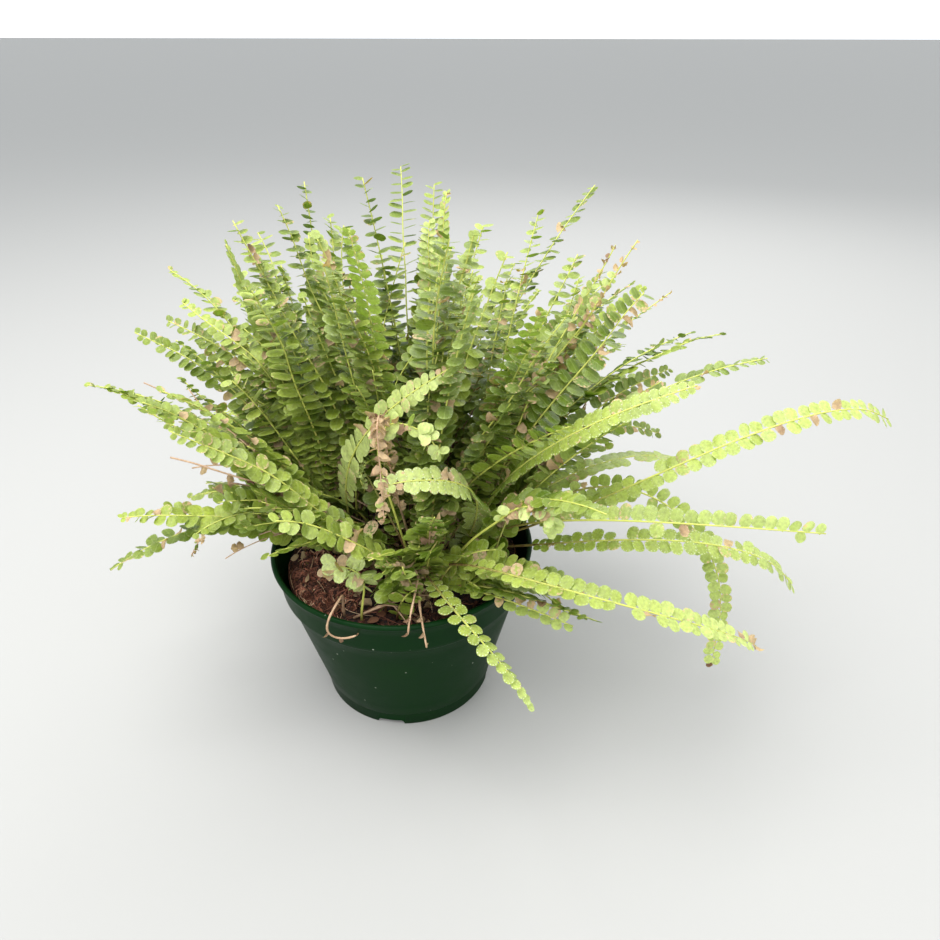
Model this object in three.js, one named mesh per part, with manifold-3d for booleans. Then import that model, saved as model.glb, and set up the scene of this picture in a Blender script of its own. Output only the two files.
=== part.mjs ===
// A potted lemon button fern (a small sword fern) in a 6 inch azalea pot.
//
// Millimetres, +Z up. The origin is the middle of the pot's foot, on the surface that it stands on.
// The plant's front is -Y, and its longest fronds trail towards +X.
//
// The pieces are the moulded pot, the potting mix, five crowns sunk in the mix, and the fronds and
// stalks that rise from the crowns. Every frond is one solid: a thin stalk that widens into a blade
// with a shallow V section, swept along a line that leans over more and more towards its tip.
// The fronds that trail over the rim are placed by hand. The others are drawn from a seeded random
// sequence, one after another, and a frond is kept only where it clears everything already standing.

import * as THREE from "three";
import Module from "manifold-3d";
import { mergeVertices } from "three/addons/utils/BufferGeometryUtils.js";

const wasm = await Module();
wasm.setup();

// ---- Driving dimensions ----

const POT = {
  height: 100,
  rimRadius: 76, // outside the lip
  bodyTopRadius: 69.6, // under the band
  bodyFootRadius: 53,
  bandHeight: 21, // the plain band with the lip along its top
  bandStep: 2.2, // how far the band stands out from the body
  footHeight: 9, // the inset ring that the pot stands on
  footInset: 1.2,
  floor: 5, // underside of the raised part of the floor, above the bench
  padRadius: 20, // the middle of the floor comes down to the bench
  wall: 1.3,
  segments: 48,
};

const DRAIN = { holes: 6, radius: 5, circle: 38, notches: 4, notchWidth: 15, notchHeight: 2.5 };

const GAP = 0.4; // between pieces that touch in the real thing

const MIX = { top: 89, edgeDrop: 3, lumps: 0.8, segments: 40 };

const CROWN = { radius: 13, rise: 6.5, segments: 12, rings: 8 };

const FROND = {
  steps: 12, // sections along its length
  stalkHalf: 0.85, // half the width of the stalk
  edgeHalf: 0.35, // half the thickness at the blade's edge
  ridgeHalf: 0.8, // half the thickness along the middle
  lift: 0.22, // how far the blade's edges rise, as a share of its half width
  clearance: 0.4, // kept to everything that already stands
  lowest: 8, // above the bench
};

// Bare mix at the front left, where the watering can reaches in: [lowest corner, highest corner].
const WATERING_SPACE = [
  [-58, -36, 91],
  [-38, -12, 106],
];

// The air above the front left of the rim, which stays open: [lowest corner, highest corner].
const OPEN_FRONT = [
  [-84, -200, 80],
  [64, -46, 150],
];

const SEED = 25;
const MOST_TRIES = 400;

// ---- Materials ----

const finish = (color, roughness) => new THREE.MeshStandardMaterial({ color, roughness, metalness: 0 });

const MATERIALS = {
  pot: finish("#1f3a24", 0.42),
  mix: finish("#4a3226", 0.95),
  crown: finish("#5b4a2a", 0.9),
  frond: finish("#6f8746", 0.6),
  young: finish("#b4c672", 0.55),
  dry: finish("#8d6f4a", 0.85),
};

// ---- Helpers ----

const rad = THREE.MathUtils.degToRad;
const clamp = THREE.MathUtils.clamp;
const between = (low, high, share) => low + (high - low) * share;

// Uniform numbers in 0 to 1, the same ones for the same seed.
function randomSequence(seed) {
  let state = seed;
  return () => {
    state = (state + 0x6d2b79f5) | 0;
    let bits = Math.imul(state ^ (state >>> 15), 1 | state);
    bits ^= bits + Math.imul(bits ^ (bits >>> 7), 61 | bits);
    return ((bits ^ (bits >>> 14)) >>> 0) / 2 ** 32;
  };
}

function solidOf(geometry) {
  const bare = new THREE.BufferGeometry().setAttribute("position", geometry.getAttribute("position").clone());
  if (geometry.index) bare.setIndex(geometry.index);
  const merged = mergeVertices(bare, 1e-3);
  return new wasm.Manifold(
    new wasm.Mesh({
      numProp: 3,
      vertProperties: merged.attributes.position.array,
      triVerts: new Uint32Array(merged.index.array),
    }),
  );
}

function geometryOf(solid) {
  const mesh = solid.getMesh();
  const geometry = new THREE.BufferGeometry()
    .setAttribute("position", new THREE.BufferAttribute(mesh.vertProperties, 3))
    .setIndex(new THREE.BufferAttribute(mesh.triVerts, 1));
  geometry.computeVertexNormals();
  return geometry;
}

// A solid turned about Z from [radius, height] pairs, listed up the outside and down the inside.
function turned(profile, segments) {
  const points = profile.map(([radius, height]) => new THREE.Vector2(radius, height));
  return new THREE.LatheGeometry(points, segments).rotateX(Math.PI / 2);
}

function overlaps(a, b) {
  const [boxA, boxB] = [a.boundingBox(), b.boundingBox()];
  const apart = [0, 1, 2].some((k) => boxA.max[k] < boxB.min[k] || boxB.max[k] < boxA.min[k]);
  return !apart && a.intersect(b).volume() > 1e-6;
}

// ---- Pot ----

// Inside radius of the tapered body at a height.
function insideRadius(height) {
  const share = (height - POT.footHeight - 1) / (POT.height - POT.bandHeight - POT.footHeight - 3);
  return between(POT.bodyFootRadius, POT.bodyTopRadius, share) - POT.wall;
}

function potGeometry() {
  const { height, rimRadius, bodyTopRadius, bodyFootRadius, footHeight, floor, padRadius, wall } = POT;
  const bandFoot = height - POT.bandHeight;
  const footRadius = bodyFootRadius - POT.footInset;
  const bandRadius = bodyTopRadius + POT.bandStep;
  const shell = turned(
    [
      [0, 0],
      [padRadius, 0],
      [padRadius + floor, floor],
      [footRadius - 2, floor],
      [footRadius - 2, 0],
      [footRadius, 0],
      [footRadius, footHeight],
      [bodyFootRadius, footHeight + 1],
      [bodyTopRadius, bandFoot - 2],
      [bandRadius, bandFoot],
      [rimRadius - 1.2, height - 3],
      [rimRadius - 0.2, height - 2.2],
      [rimRadius, height - 1.2],
      [rimRadius - 0.4, height - 0.3],
      [rimRadius - 1.2, height],
      [rimRadius - 2.2, height - 0.6],
      [rimRadius - 2.8, height - 2.4],
      [bandRadius - wall, bandFoot + 1],
      [bodyTopRadius - wall, bandFoot - 2],
      [bodyFootRadius - wall, footHeight + 1.4],
      [footRadius - wall - 1, floor + wall],
      [padRadius + floor, floor + wall],
      [padRadius, wall],
      [0, wall],
    ],
    POT.segments,
  );
  return geometryOf(drainCuts().reduce((pot, cut) => pot.subtract(cut), solidOf(shell)));
}

// Round holes through the floor, and notches under the foot that let the water run out.
function drainCuts() {
  const cuts = [];
  for (let i = 0; i < DRAIN.holes; i++) {
    const turn = ((i + 0.5) / DRAIN.holes) * 2 * Math.PI;
    const hole = new THREE.CylinderGeometry(DRAIN.radius, DRAIN.radius, 8, 20)
      .rotateX(Math.PI / 2)
      .translate(DRAIN.circle * Math.cos(turn), DRAIN.circle * Math.sin(turn), POT.floor + POT.wall / 2);
    cuts.push(solidOf(hole));
  }
  for (let i = 0; i < DRAIN.notches; i++) {
    const notch = new THREE.BoxGeometry(12, DRAIN.notchWidth, 2 * DRAIN.notchHeight)
      .translate(POT.bodyFootRadius - 2, 0, 0)
      .rotateZ((i / DRAIN.notches) * 2 * Math.PI);
    cuts.push(solidOf(notch));
  }
  return cuts;
}

// ---- Potting mix ----

// Height of the mix at a place: a little proud in the middle, lower at the wall, with soft lumps.
function mixHeight(x, y) {
  const share = Math.hypot(x, y) / insideRadius(MIX.top);
  const lumps = Math.sin(x / 9 + 1) * Math.cos(y / 7) + 0.5 * Math.sin((x - y) / 4.5);
  return MIX.top - MIX.edgeDrop * share ** 3 + MIX.lumps * lumps * (1 - share ** 2);
}

function mixSolid() {
  const wallTop = MIX.top - MIX.edgeDrop;
  const rings = [0.82, 0.62, 0.42, 0.22, 0].map((share) => [insideRadius(wallTop) * share, MIX.top]);
  const body = turned(
    [
      [0, POT.wall + GAP],
      [POT.padRadius, POT.wall + GAP],
      [POT.padRadius + POT.floor, POT.floor + POT.wall + GAP],
      [insideRadius(POT.footHeight) - 2, POT.floor + POT.wall + GAP],
      [insideRadius(14) - GAP, 14],
      [insideRadius(POT.height - POT.bandHeight - 2) - GAP, wallTop],
      ...rings,
    ],
    MIX.segments,
  );
  const at = body.attributes.position;
  for (let i = 0; i < at.count; i++)
    if (at.getZ(i) > wallTop + 0.01) at.setZ(i, mixHeight(at.getX(i), at.getY(i)));
  return solidOf(body);
}

// ---- Crowns ----

// Each crown is the short, scaly rootstock of one plantlet. Places are [x, y] on the mix.
const CROWN_PLACES = {
  crown_middle: [2, 6],
  crown_left: [-36, 6],
  crown_right: [38, 4],
  crown_back: [4, 42],
  crown_front_right: [16, -28],
};

function crownGeometry([x, y], margin = 0) {
  return new THREE.SphereGeometry(1, CROWN.segments, CROWN.rings)
    .rotateX(Math.PI / 2)
    .scale(CROWN.radius + margin, CROWN.radius + margin, CROWN.rise + margin)
    .translate(x, y, mixHeight(x, y));
}

// A point just above a crown's skin, in a direction given by its slope from the top and its heading.
function onCrown(crown, slope, heading) {
  const [x, y] = CROWN_PLACES[crown];
  const [across, up] = [CROWN.radius + 2 * FROND.stalkHalf, CROWN.rise + 2 * FROND.stalkHalf];
  return new THREE.Vector3(
    x + across * Math.sin(rad(slope)) * Math.cos(rad(heading)),
    y + across * Math.sin(rad(slope)) * Math.sin(rad(heading)),
    mixHeight(x, y) + up * Math.cos(rad(slope)),
  );
}

// A point just above the mix.
function onMix(x, y) {
  return new THREE.Vector3(x, y, mixHeight(x, y) + 2 * FROND.stalkHalf);
}

// ---- Fronds ----

// Sections along a frond: where each is, which way its blade spreads and which way its face looks.
// lean is the angle from upright at the foot and at the tip, over is the stretch that bends, as
// shares of the length, and bend says how late in it the bending comes.
// heading is the compass direction, sway how far that turns, and twist how far the blade rolls.
function sectionsOf({ foot, heading, lean, length, over = [0, 1], bend = 1, sway = 0, twist = [0, 0] }) {
  const sections = [];
  const point = foot.clone();
  for (let i = 0; i <= FROND.steps; i++) {
    const share = i / FROND.steps;
    const bent = clamp((share - over[0]) / (over[1] - over[0]), 0, 1);
    const tilt = rad(between(...lean, bent ** bend));
    const turn = rad(heading + sway * share);
    const roll = rad(between(...twist, share));
    const outward = new THREE.Vector3(Math.cos(turn), Math.sin(turn), 0);
    const level = new THREE.Vector3(-Math.sin(turn), Math.cos(turn), 0);
    const up = new THREE.Vector3(0, 0, 1);
    const along = outward.clone().multiplyScalar(Math.sin(tilt)).addScaledVector(up, Math.cos(tilt));
    const inner = up.multiplyScalar(Math.sin(tilt)).addScaledVector(outward, -Math.cos(tilt));
    sections.push({
      point: point.clone(),
      side: level.clone().multiplyScalar(Math.cos(roll)).addScaledVector(inner, Math.sin(roll)),
      face: inner.clone().multiplyScalar(Math.cos(roll)).addScaledVector(level, -Math.sin(roll)),
    });
    point.addScaledVector(along, length / FROND.steps);
  }
  return sections;
}

// Half width of a frond at a share of its length: a bare stalk, a blade, and a narrowing tip.
function halfWidth(share, { width, stalk = 0.2 }) {
  if (share <= stalk) return FROND.stalkHalf;
  const along = (share - stalk) / (1 - stalk);
  const opening = Math.min(1, 0.55 + along * 3);
  const closing = Math.sqrt(1 - along ** 5);
  return Math.max(FROND.stalkHalf, (width / 2) * opening * closing);
}

// A straight prism with the blade's section, bent so that it follows the frond's sections.
function frondGeometry(frond, margin = 0) {
  const { edgeHalf, ridgeHalf, steps, lift } = FROND;
  const section = new THREE.Shape(
    [
      [-1, -edgeHalf],
      [0, -ridgeHalf],
      [1, -edgeHalf],
      [1, edgeHalf],
      [0, ridgeHalf],
      [-1, edgeHalf],
    ].map(([across, thick]) => new THREE.Vector2(across, thick)),
  );
  const prism = new THREE.ExtrudeGeometry(section, { depth: 1, steps, bevelEnabled: false });
  const sections = sectionsOf(frond);
  const at = prism.attributes.position;
  for (let i = 0; i < at.count; i++) {
    const [across, thick, share] = [at.getX(i), at.getY(i), at.getZ(i)];
    const half = halfWidth(share, frond);
    const rise = half > FROND.stalkHalf ? Math.abs(across) * half * lift : 0;
    const { point, side, face } = sections[Math.round(share * steps)];
    const place = point
      .clone()
      .addScaledVector(side, across * (half + margin))
      .addScaledVector(face, thick + Math.sign(thick) * margin + rise);
    at.setXYZ(i, place.x, place.y, place.z);
  }
  return prism;
}

// ---- Fronds placed by hand ----

// A frond stands on a crown, at a [slope, heading] on its skin, or straight in the mix at [x, y].
// Angles are in degrees and lengths in millimetres.
const PLACED = {
  trailing_frond_right_long: {
    crown: "crown_right",
    stand: [42, -20],
    heading: -43,
    sway: 54,
    lean: [25, 97],
    bend: 0.5,
    length: 199,
    width: 19,
    twist: [10, 84],
    look: "young",
  },
  trailing_frond_right_low: {
    crown: "crown_front_right",
    stand: [48, 5],
    heading: -56,
    sway: 106,
    lean: [30, 136],
    bend: 0.6,
    length: 219,
    width: 15,
    twist: [0, 30],
    look: "young",
  },
  trailing_frond_front_right: {
    crown: "crown_front_right",
    stand: [48, -58],
    heading: -75,
    sway: 90,
    lean: [0, 162],
    bend: 0.42,
    length: 114,
    width: 16,
    twist: [0, -14],
    look: "young",
  },
  trailing_frond_front_short: {
    crown: "crown_front_right",
    stand: [50, -28],
    heading: -36,
    sway: 28,
    lean: [52, 107],
    bend: 0.66,
    length: 86,
    width: 14,
    twist: [0, 20],
    look: "young",
  },
  arching_frond_right: {
    crown: "crown_right",
    stand: [44, 10],
    heading: -33,
    sway: 60,
    lean: [63, 156],
    bend: 2.2,
    length: 194,
    width: 18,
    twist: [0, 30],
    look: "young",
  },
  arching_frond_right_high: {
    crown: "crown_right",
    stand: [20, 20],
    heading: -25,
    sway: 60,
    lean: [54, 140],
    bend: 4,
    length: 250,
    width: 18,
    twist: [0, 40],
    look: "young",
  },
  rising_frond_right: {
    crown: "crown_right",
    stand: [16, -60],
    heading: -57,
    sway: 70,
    lean: [20, 74],
    bend: 1.16,
    length: 180,
    width: 18,
    twist: [0, 40],
    look: "young",
  },
  hanging_frond_right: {
    crown: "crown_right",
    stand: [50, 44],
    heading: 18,
    sway: -84,
    lean: [56, 176],
    bend: 1,
    length: 226,
    width: 17,
    twist: [0, -25],
    over: [0.2, 0.8],
    look: "frond",
  },
  rising_frond_front: {
    crown: "crown_left",
    stand: [30, -40],
    heading: -87,
    sway: 95,
    lean: [18, 58],
    bend: 1.2,
    length: 165,
    width: 15,
    twist: [40, 80],
    look: "young",
  },
  crossing_frond_front: {
    crown: "crown_right",
    stand: [40, -110],
    heading: -32,
    sway: -144,
    lean: [24, 118],
    bend: 2.5,
    length: 133,
    width: 14,
    twist: [0, -60],
    look: "young",
  },
  tall_frond_back_left: {
    crown: "crown_left",
    stand: [20, 60],
    heading: 118,
    lean: [6, 24],
    length: 198,
    width: 19,
    twist: [50, 68],
    look: "frond",
  },
  tall_frond_back_middle: {
    crown: "crown_back",
    stand: [14, 200],
    heading: 160,
    lean: [2, 14],
    length: 196,
    width: 20,
    twist: [84, 74],
    look: "frond",
  },
  tall_frond_back_right: {
    crown: "crown_back",
    stand: [30, 10],
    heading: 34,
    lean: [16, 44],
    length: 214,
    width: 19,
    twist: [-30, -10],
    look: "frond",
  },
  dry_frond_front: {
    crown: "crown_middle",
    stand: [60, -60],
    heading: -100,
    sway: 32,
    lean: [23, 181],
    over: [0.45, 0.75],
    bend: 3,
    length: 194,
    width: 8,
    look: "dry",
  },
  dry_frond_left: {
    crown: "crown_left",
    stand: [48, 185],
    heading: 186,
    sway: 14,
    lean: [34, 158],
    bend: 0.8,
    length: 104,
    width: 8,
    look: "dry",
  },
  pale_frond_front: {
    inMix: [-9, -60],
    heading: 278,
    sway: -128,
    lean: [-30, 175],
    bend: 1.9,
    length: 50,
    width: 13,
    stalk: 0.35,
    look: "young",
  },
  bare_stalk_front_left: {
    inMix: [-19, -58],
    heading: -39,
    sway: -146,
    lean: [-3, 330],
    bend: 1.38,
    length: 63,
    width: 0,
    look: "dry",
  },
  bare_stalk_front: {
    crown: "crown_front_right",
    stand: [44, -90],
    heading: -62,
    sway: -44,
    lean: [17, 180],
    bend: 1.28,
    length: 62,
    width: 0,
    look: "dry",
  },
  bare_stalk_front_right: {
    crown: "crown_front_right",
    stand: [54, -70],
    heading: -90,
    sway: 30,
    lean: [34, 160],
    bend: 1.1,
    length: 52,
    width: 0,
    look: "dry",
  },
  fiddlehead_left: {
    crown: "crown_left",
    stand: [26, 0],
    heading: 300,
    lean: [12, 318],
    bend: 5,
    length: 84,
    width: 4,
    stalk: 0.6,
    look: "young",
  },
  fiddlehead_middle: {
    crown: "crown_middle",
    stand: [30, 250],
    heading: 250,
    lean: [8, 300],
    bend: 5,
    length: 96,
    width: 4,
    stalk: 0.6,
    look: "young",
  },
};

// ---- Fronds drawn at random ----

// Tiers from the middle outwards. Each range is [least, most] of what is drawn for one frond.
const TIERS = [
  { name: "upright_frond", count: 12, slope: [0, 32], start: [0, 14], end: [12, 38], length: [150, 196] },
  { name: "leaning_frond", count: 13, slope: [18, 44], start: [16, 34], end: [48, 84], length: [150, 196] },
  { name: "arching_frond", count: 7, slope: [30, 52], start: [36, 50], end: [92, 128], length: [128, 176] },
];

const BLADE_WIDTH = [16, 20];
const OUTWARD_SPREAD = 50; // degrees that a frond's heading strays from straight out of the pot
const OUTWARD_HEADING = { crown_middle: null }; // the middle crown's fronds head every way

function drawnFrond(tier, random) {
  const crowns = Object.keys(CROWN_PLACES);
  const crown = crowns[Math.floor(random() * crowns.length)];
  const [x, y] = CROWN_PLACES[crown];
  const straightOut = THREE.MathUtils.radToDeg(Math.atan2(y, x));
  const heading =
    crown in OUTWARD_HEADING
      ? 360 * random()
      : straightOut + OUTWARD_SPREAD * (random() + random() + random() - 1.5) * 1.6;
  const roll = 70 * (random() - 0.5);
  return {
    crown,
    stand: [between(...tier.slope, random()), heading + 50 * (random() - 0.5)],
    heading,
    sway: 24 * (random() - 0.5),
    lean: [between(...tier.start, random()), between(...tier.end, random())],
    bend: between(0.8, 1.3, random()),
    length: between(...tier.length, random()),
    width: between(...BLADE_WIDTH, random()),
    twist: [roll, roll + 60 * (random() - 0.5)],
    look: "frond",
  };
}

// ---- Assembly ----

const fern = new THREE.Group();
const standing = []; // the solids that stand so far

function add(name, geometry, look) {
  const mesh = new THREE.Mesh(geometry, MATERIALS[look]);
  mesh.name = name;
  fern.add(mesh);
  standing.push(solidOf(geometry));
}

// Adds the frond if it clears what stands and stays above the bench, and says whether it did.
function addIfClear(name, frond) {
  const foot = frond.inMix ? onMix(...frond.inMix) : onCrown(frond.crown, ...frond.stand);
  const rooted = { ...frond, foot };
  const fat = solidOf(frondGeometry(rooted, FROND.clearance));
  const clear = fat.boundingBox().min[2] > FROND.lowest && !standing.some((solid) => overlaps(solid, fat));
  if (clear) add(name, frondGeometry(rooted), frond.look);
  return clear;
}

add("pot", potGeometry(), "pot");
const places = Object.values(CROWN_PLACES);
const sockets = places.map((place) => solidOf(crownGeometry(place, GAP)));
add("potting_mix", geometryOf(sockets.reduce((mix, socket) => mix.subtract(socket), mixSolid())), "mix");
for (const [name, place] of Object.entries(CROWN_PLACES)) add(name, crownGeometry(place), "crown");

function boxBetween(corners) {
  const [low, high] = corners.map((corner) => new THREE.Vector3(...corner));
  const size = high.clone().sub(low);
  const middle = low.clone().add(high).multiplyScalar(0.5);
  return new THREE.BoxGeometry(size.x, size.y, size.z).translate(middle.x, middle.y, middle.z);
}

for (const [name, frond] of Object.entries(PLACED))
  if (!addIfClear(name, frond)) throw new Error(`${name} touches another piece`);

// Kept free of the drawn fronds, and not pieces.
standing.push(solidOf(boxBetween(WATERING_SPACE)), solidOf(boxBetween(OPEN_FRONT)));
const random = randomSequence(SEED);
for (const tier of TIERS)
  for (let i = 1; i <= tier.count; i++) {
    const name = `${tier.name}_${String(i).padStart(2, "0")}`;
    let tries = 0;
    while (!addIfClear(name, drawnFrond(tier, random)))
      if (++tries > MOST_TRIES) throw new Error(`no room for ${name}`);
  }

export default fern;
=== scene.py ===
"""Potted lemon button fern: the visual model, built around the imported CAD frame.

Every CAD frond is read back as a line with a side and a face along it, and gets its stalk and its
rows of round leaflets there. Tufts of further fronds, drawn from seeded random numbers, fill the
plant out. The pot, the potting mix with its fibres and crumbs, the crowns and the litter follow.
"""

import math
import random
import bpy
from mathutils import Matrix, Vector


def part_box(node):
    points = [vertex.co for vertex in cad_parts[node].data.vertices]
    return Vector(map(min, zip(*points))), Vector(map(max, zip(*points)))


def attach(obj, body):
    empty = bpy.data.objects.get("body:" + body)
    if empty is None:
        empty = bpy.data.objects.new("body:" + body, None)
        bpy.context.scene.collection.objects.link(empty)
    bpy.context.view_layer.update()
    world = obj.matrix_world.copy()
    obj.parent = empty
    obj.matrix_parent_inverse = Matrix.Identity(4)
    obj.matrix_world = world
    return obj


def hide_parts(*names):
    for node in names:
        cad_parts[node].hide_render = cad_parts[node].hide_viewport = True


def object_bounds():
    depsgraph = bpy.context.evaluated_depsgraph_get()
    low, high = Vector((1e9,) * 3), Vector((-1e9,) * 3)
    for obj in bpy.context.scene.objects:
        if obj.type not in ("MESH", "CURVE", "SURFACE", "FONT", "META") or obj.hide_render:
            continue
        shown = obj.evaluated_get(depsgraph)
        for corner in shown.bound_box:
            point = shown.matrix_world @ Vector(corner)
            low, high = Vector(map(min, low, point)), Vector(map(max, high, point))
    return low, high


bl_info = {
    "name": "Potted Button Fern",
    "version": (1, 0, 0),
    "blender": (4, 5, 0),
    "location": "View3D > Sidebar > Button Fern",
    "description": "Builds a button fern with its pot, mix, crowns, fronds, litter and stage",
    "category": "Add Mesh",
}

import bmesh
import bpy
from bpy.props import FloatProperty, FloatVectorProperty, IntProperty, PointerProperty
from mathutils import Matrix, Vector, kdtree, noise

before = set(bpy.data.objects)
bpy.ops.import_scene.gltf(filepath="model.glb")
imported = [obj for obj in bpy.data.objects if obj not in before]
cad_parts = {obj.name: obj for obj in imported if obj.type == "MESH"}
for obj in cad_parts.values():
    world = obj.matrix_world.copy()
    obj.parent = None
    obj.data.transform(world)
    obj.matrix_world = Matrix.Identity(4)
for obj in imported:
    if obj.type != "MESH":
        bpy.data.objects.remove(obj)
CAD_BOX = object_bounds()

MM = 0.001
UP = Vector((0, 0, 1))
BODY = "root"

POT_LOW, POT_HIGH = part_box("pot")
MIX_LOW, MIX_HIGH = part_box("potting_mix")
RIM_RADIUS = (POT_HIGH.x - POT_LOW.x) / 2
MIX_RADIUS = (MIX_HIGH.x - MIX_LOW.x) / 2
MIX_LEVEL = MIX_HIGH.z - 1.2 * MM
CROWNS = sorted(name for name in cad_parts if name.startswith("crown"))
EYE = Vector((0.090, -0.338, 0.357))  # where the camera stands


# ---------------------------------------------------------------- sizes and colours


def linear(hex_text):
    """An sRGB hex colour as linear red, green, blue and a full alpha."""
    channels = [int(hex_text[i : i + 2], 16) / 255 for i in (1, 3, 5)]
    return [c / 12.92 if c <= 0.04045 else ((c + 0.055) / 1.055) ** 2.4 for c in channels] + [1.0]


def size(name, description, default_mm):
    return FloatProperty(name=name, description=description, default=default_mm * MM, unit="LENGTH")


def colour(name, description, hex_text):
    return FloatVectorProperty(
        name=name, description=description, default=linear(hex_text), size=4, subtype="COLOR"
    )


class FernFrondSettings(bpy.types.PropertyGroup):
    leaflet_length: size("Leaflet length", "From the stalk to the tip of a full leaflet", 9.0)
    leaflet_width: size("Leaflet width", "Across a full leaflet", 7.8)
    spacing: size("Leaflet spacing", "Between neighbours on one side of a frond", 5.6)
    stalk_foot: size("Stalk at the foot", "Radius of a frond's stalk where it leaves the crown", 0.85)
    stalk_tip: size("Stalk at the tip", "Radius of a frond's stalk at its tip", 0.3)
    fill: IntProperty(name="Fill fronds", description="Further fronds for each crown", default=38)
    plantlets: IntProperty(name="Plantlet fronds", description="Small fronds between the crowns", default=75)
    seed: IntProperty(name="Seed", description="Starts the random numbers", default=7)


class FernPotSettings(bpy.types.PropertyGroup):
    wall: size("Wall", "Thickness of the moulded wall", 1.3)
    lip: size("Lip", "Radius of the rounded lip", 1.5)
    band: size("Band", "Height of the plain band under the lip", 21)
    band_step: size("Band step", "How far the band stands out from the body", 2.2)
    foot: size("Foot", "Height of the inset foot ring", 9)
    foot_inset: size("Foot inset", "How far the foot ring is set in", 1.2)
    floor: size("Floor", "From the bench to the underside of the raised floor", 5)


class FernMixSettings(bpy.types.PropertyGroup):
    crumbs: IntProperty(name="Crumbs", description="Loose crumbs on the mix", default=900)
    fibres: IntProperty(name="Fibres", description="Loose coir fibres on the mix", default=520)
    clumps: IntProperty(name="Clumps", description="Tangled clumps of coir in the bare patch", default=52)
    litter: IntProperty(name="Litter", description="Fallen dry leaflets", default=130)


class FernColours(bpy.types.PropertyGroup):
    leaf_dark: colour("Old leaf", "The darkest living leaflets", "#6A8514")
    leaf_light: colour("Leaf", "The lightest mature leaflets", "#C0CC55")
    leaf_young: colour("Young leaf", "Fresh growth and pale fronds", "#E0E79A")
    leaf_edge: colour("Leaf edge", "The pale rim of a leaflet", "#CFD797")
    leaf_under: colour("Leaf underside", "The duller, yellower underside", "#A6BA48")
    lime: colour("Lime dots", "The chalky dots along a leaflet's rim", "#EEF3DC")
    dead_light: colour("Dry leaf", "Straw-coloured dry tissue", "#DBBE98")
    dead_dark: colour("Brown leaf", "Brown dry tissue", "#8A5F45")
    stalk_foot: colour("Stalk foot", "Wiry brown lower stalk", "#5E3E24")
    stalk_tip: colour("Stalk tip", "Yellow-green upper stalk", "#B4B955")
    pot: colour("Pot", "Dark green polypropylene", "#08250C")
    pot_scuff: colour("Pot scuff", "Rubbed and dusty plastic", "#12300F")
    # Away from the bare patch the mix is pushed towards this colour, partly moist peat and partly painted
    # shade under the foliage.
    mix_dark: colour("Mix, dark", "Moist peat between the fibres", "#150804")
    mix_light: colour("Mix, light", "Dry coir and peat on top", "#633825")
    fibre: colour("Coir fibre", "Red-brown coir", "#A9694F")


class FernStageSettings(bpy.types.PropertyGroup):
    lens: FloatProperty(name="Lens", description="Camera focal length in mm", default=28.0)
    floor: colour("Floor", "Plain pale floor", "#9A9996")


class FernSettings(bpy.types.PropertyGroup):
    fronds: PointerProperty(type=FernFrondSettings)
    pot: PointerProperty(type=FernPotSettings)
    mix: PointerProperty(type=FernMixSettings)
    colours: PointerProperty(type=FernColours)
    stage: PointerProperty(type=FernStageSettings)


def settings():
    return bpy.context.scene.button_fern


# ---------------------------------------------------------------- nodes


def add_node(tree, kind, inputs=None, **options):
    """Adds a shader node with its options, and sets or links its inputs by name or number."""
    made = tree.nodes.new("ShaderNode" + kind)
    for name, value in options.items():
        setattr(made, name, value)
    for name, value in (inputs or {}).items():
        if isinstance(value, bpy.types.NodeSocket):
            tree.links.new(value, made.inputs[name])
        else:
            made.inputs[name].default_value = value
    return made


def material(name, build):
    """The named material, made by build(tree, colours) when it is first asked for."""
    found = bpy.data.materials.get(name)
    if found:
        return found
    made = bpy.data.materials.new(name)
    made.use_nodes = True
    made.node_tree.nodes.clear()
    shader = build(made.node_tree, settings().colours)
    add_node(made.node_tree, "OutputMaterial", {"Surface": shader})
    return made


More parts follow.
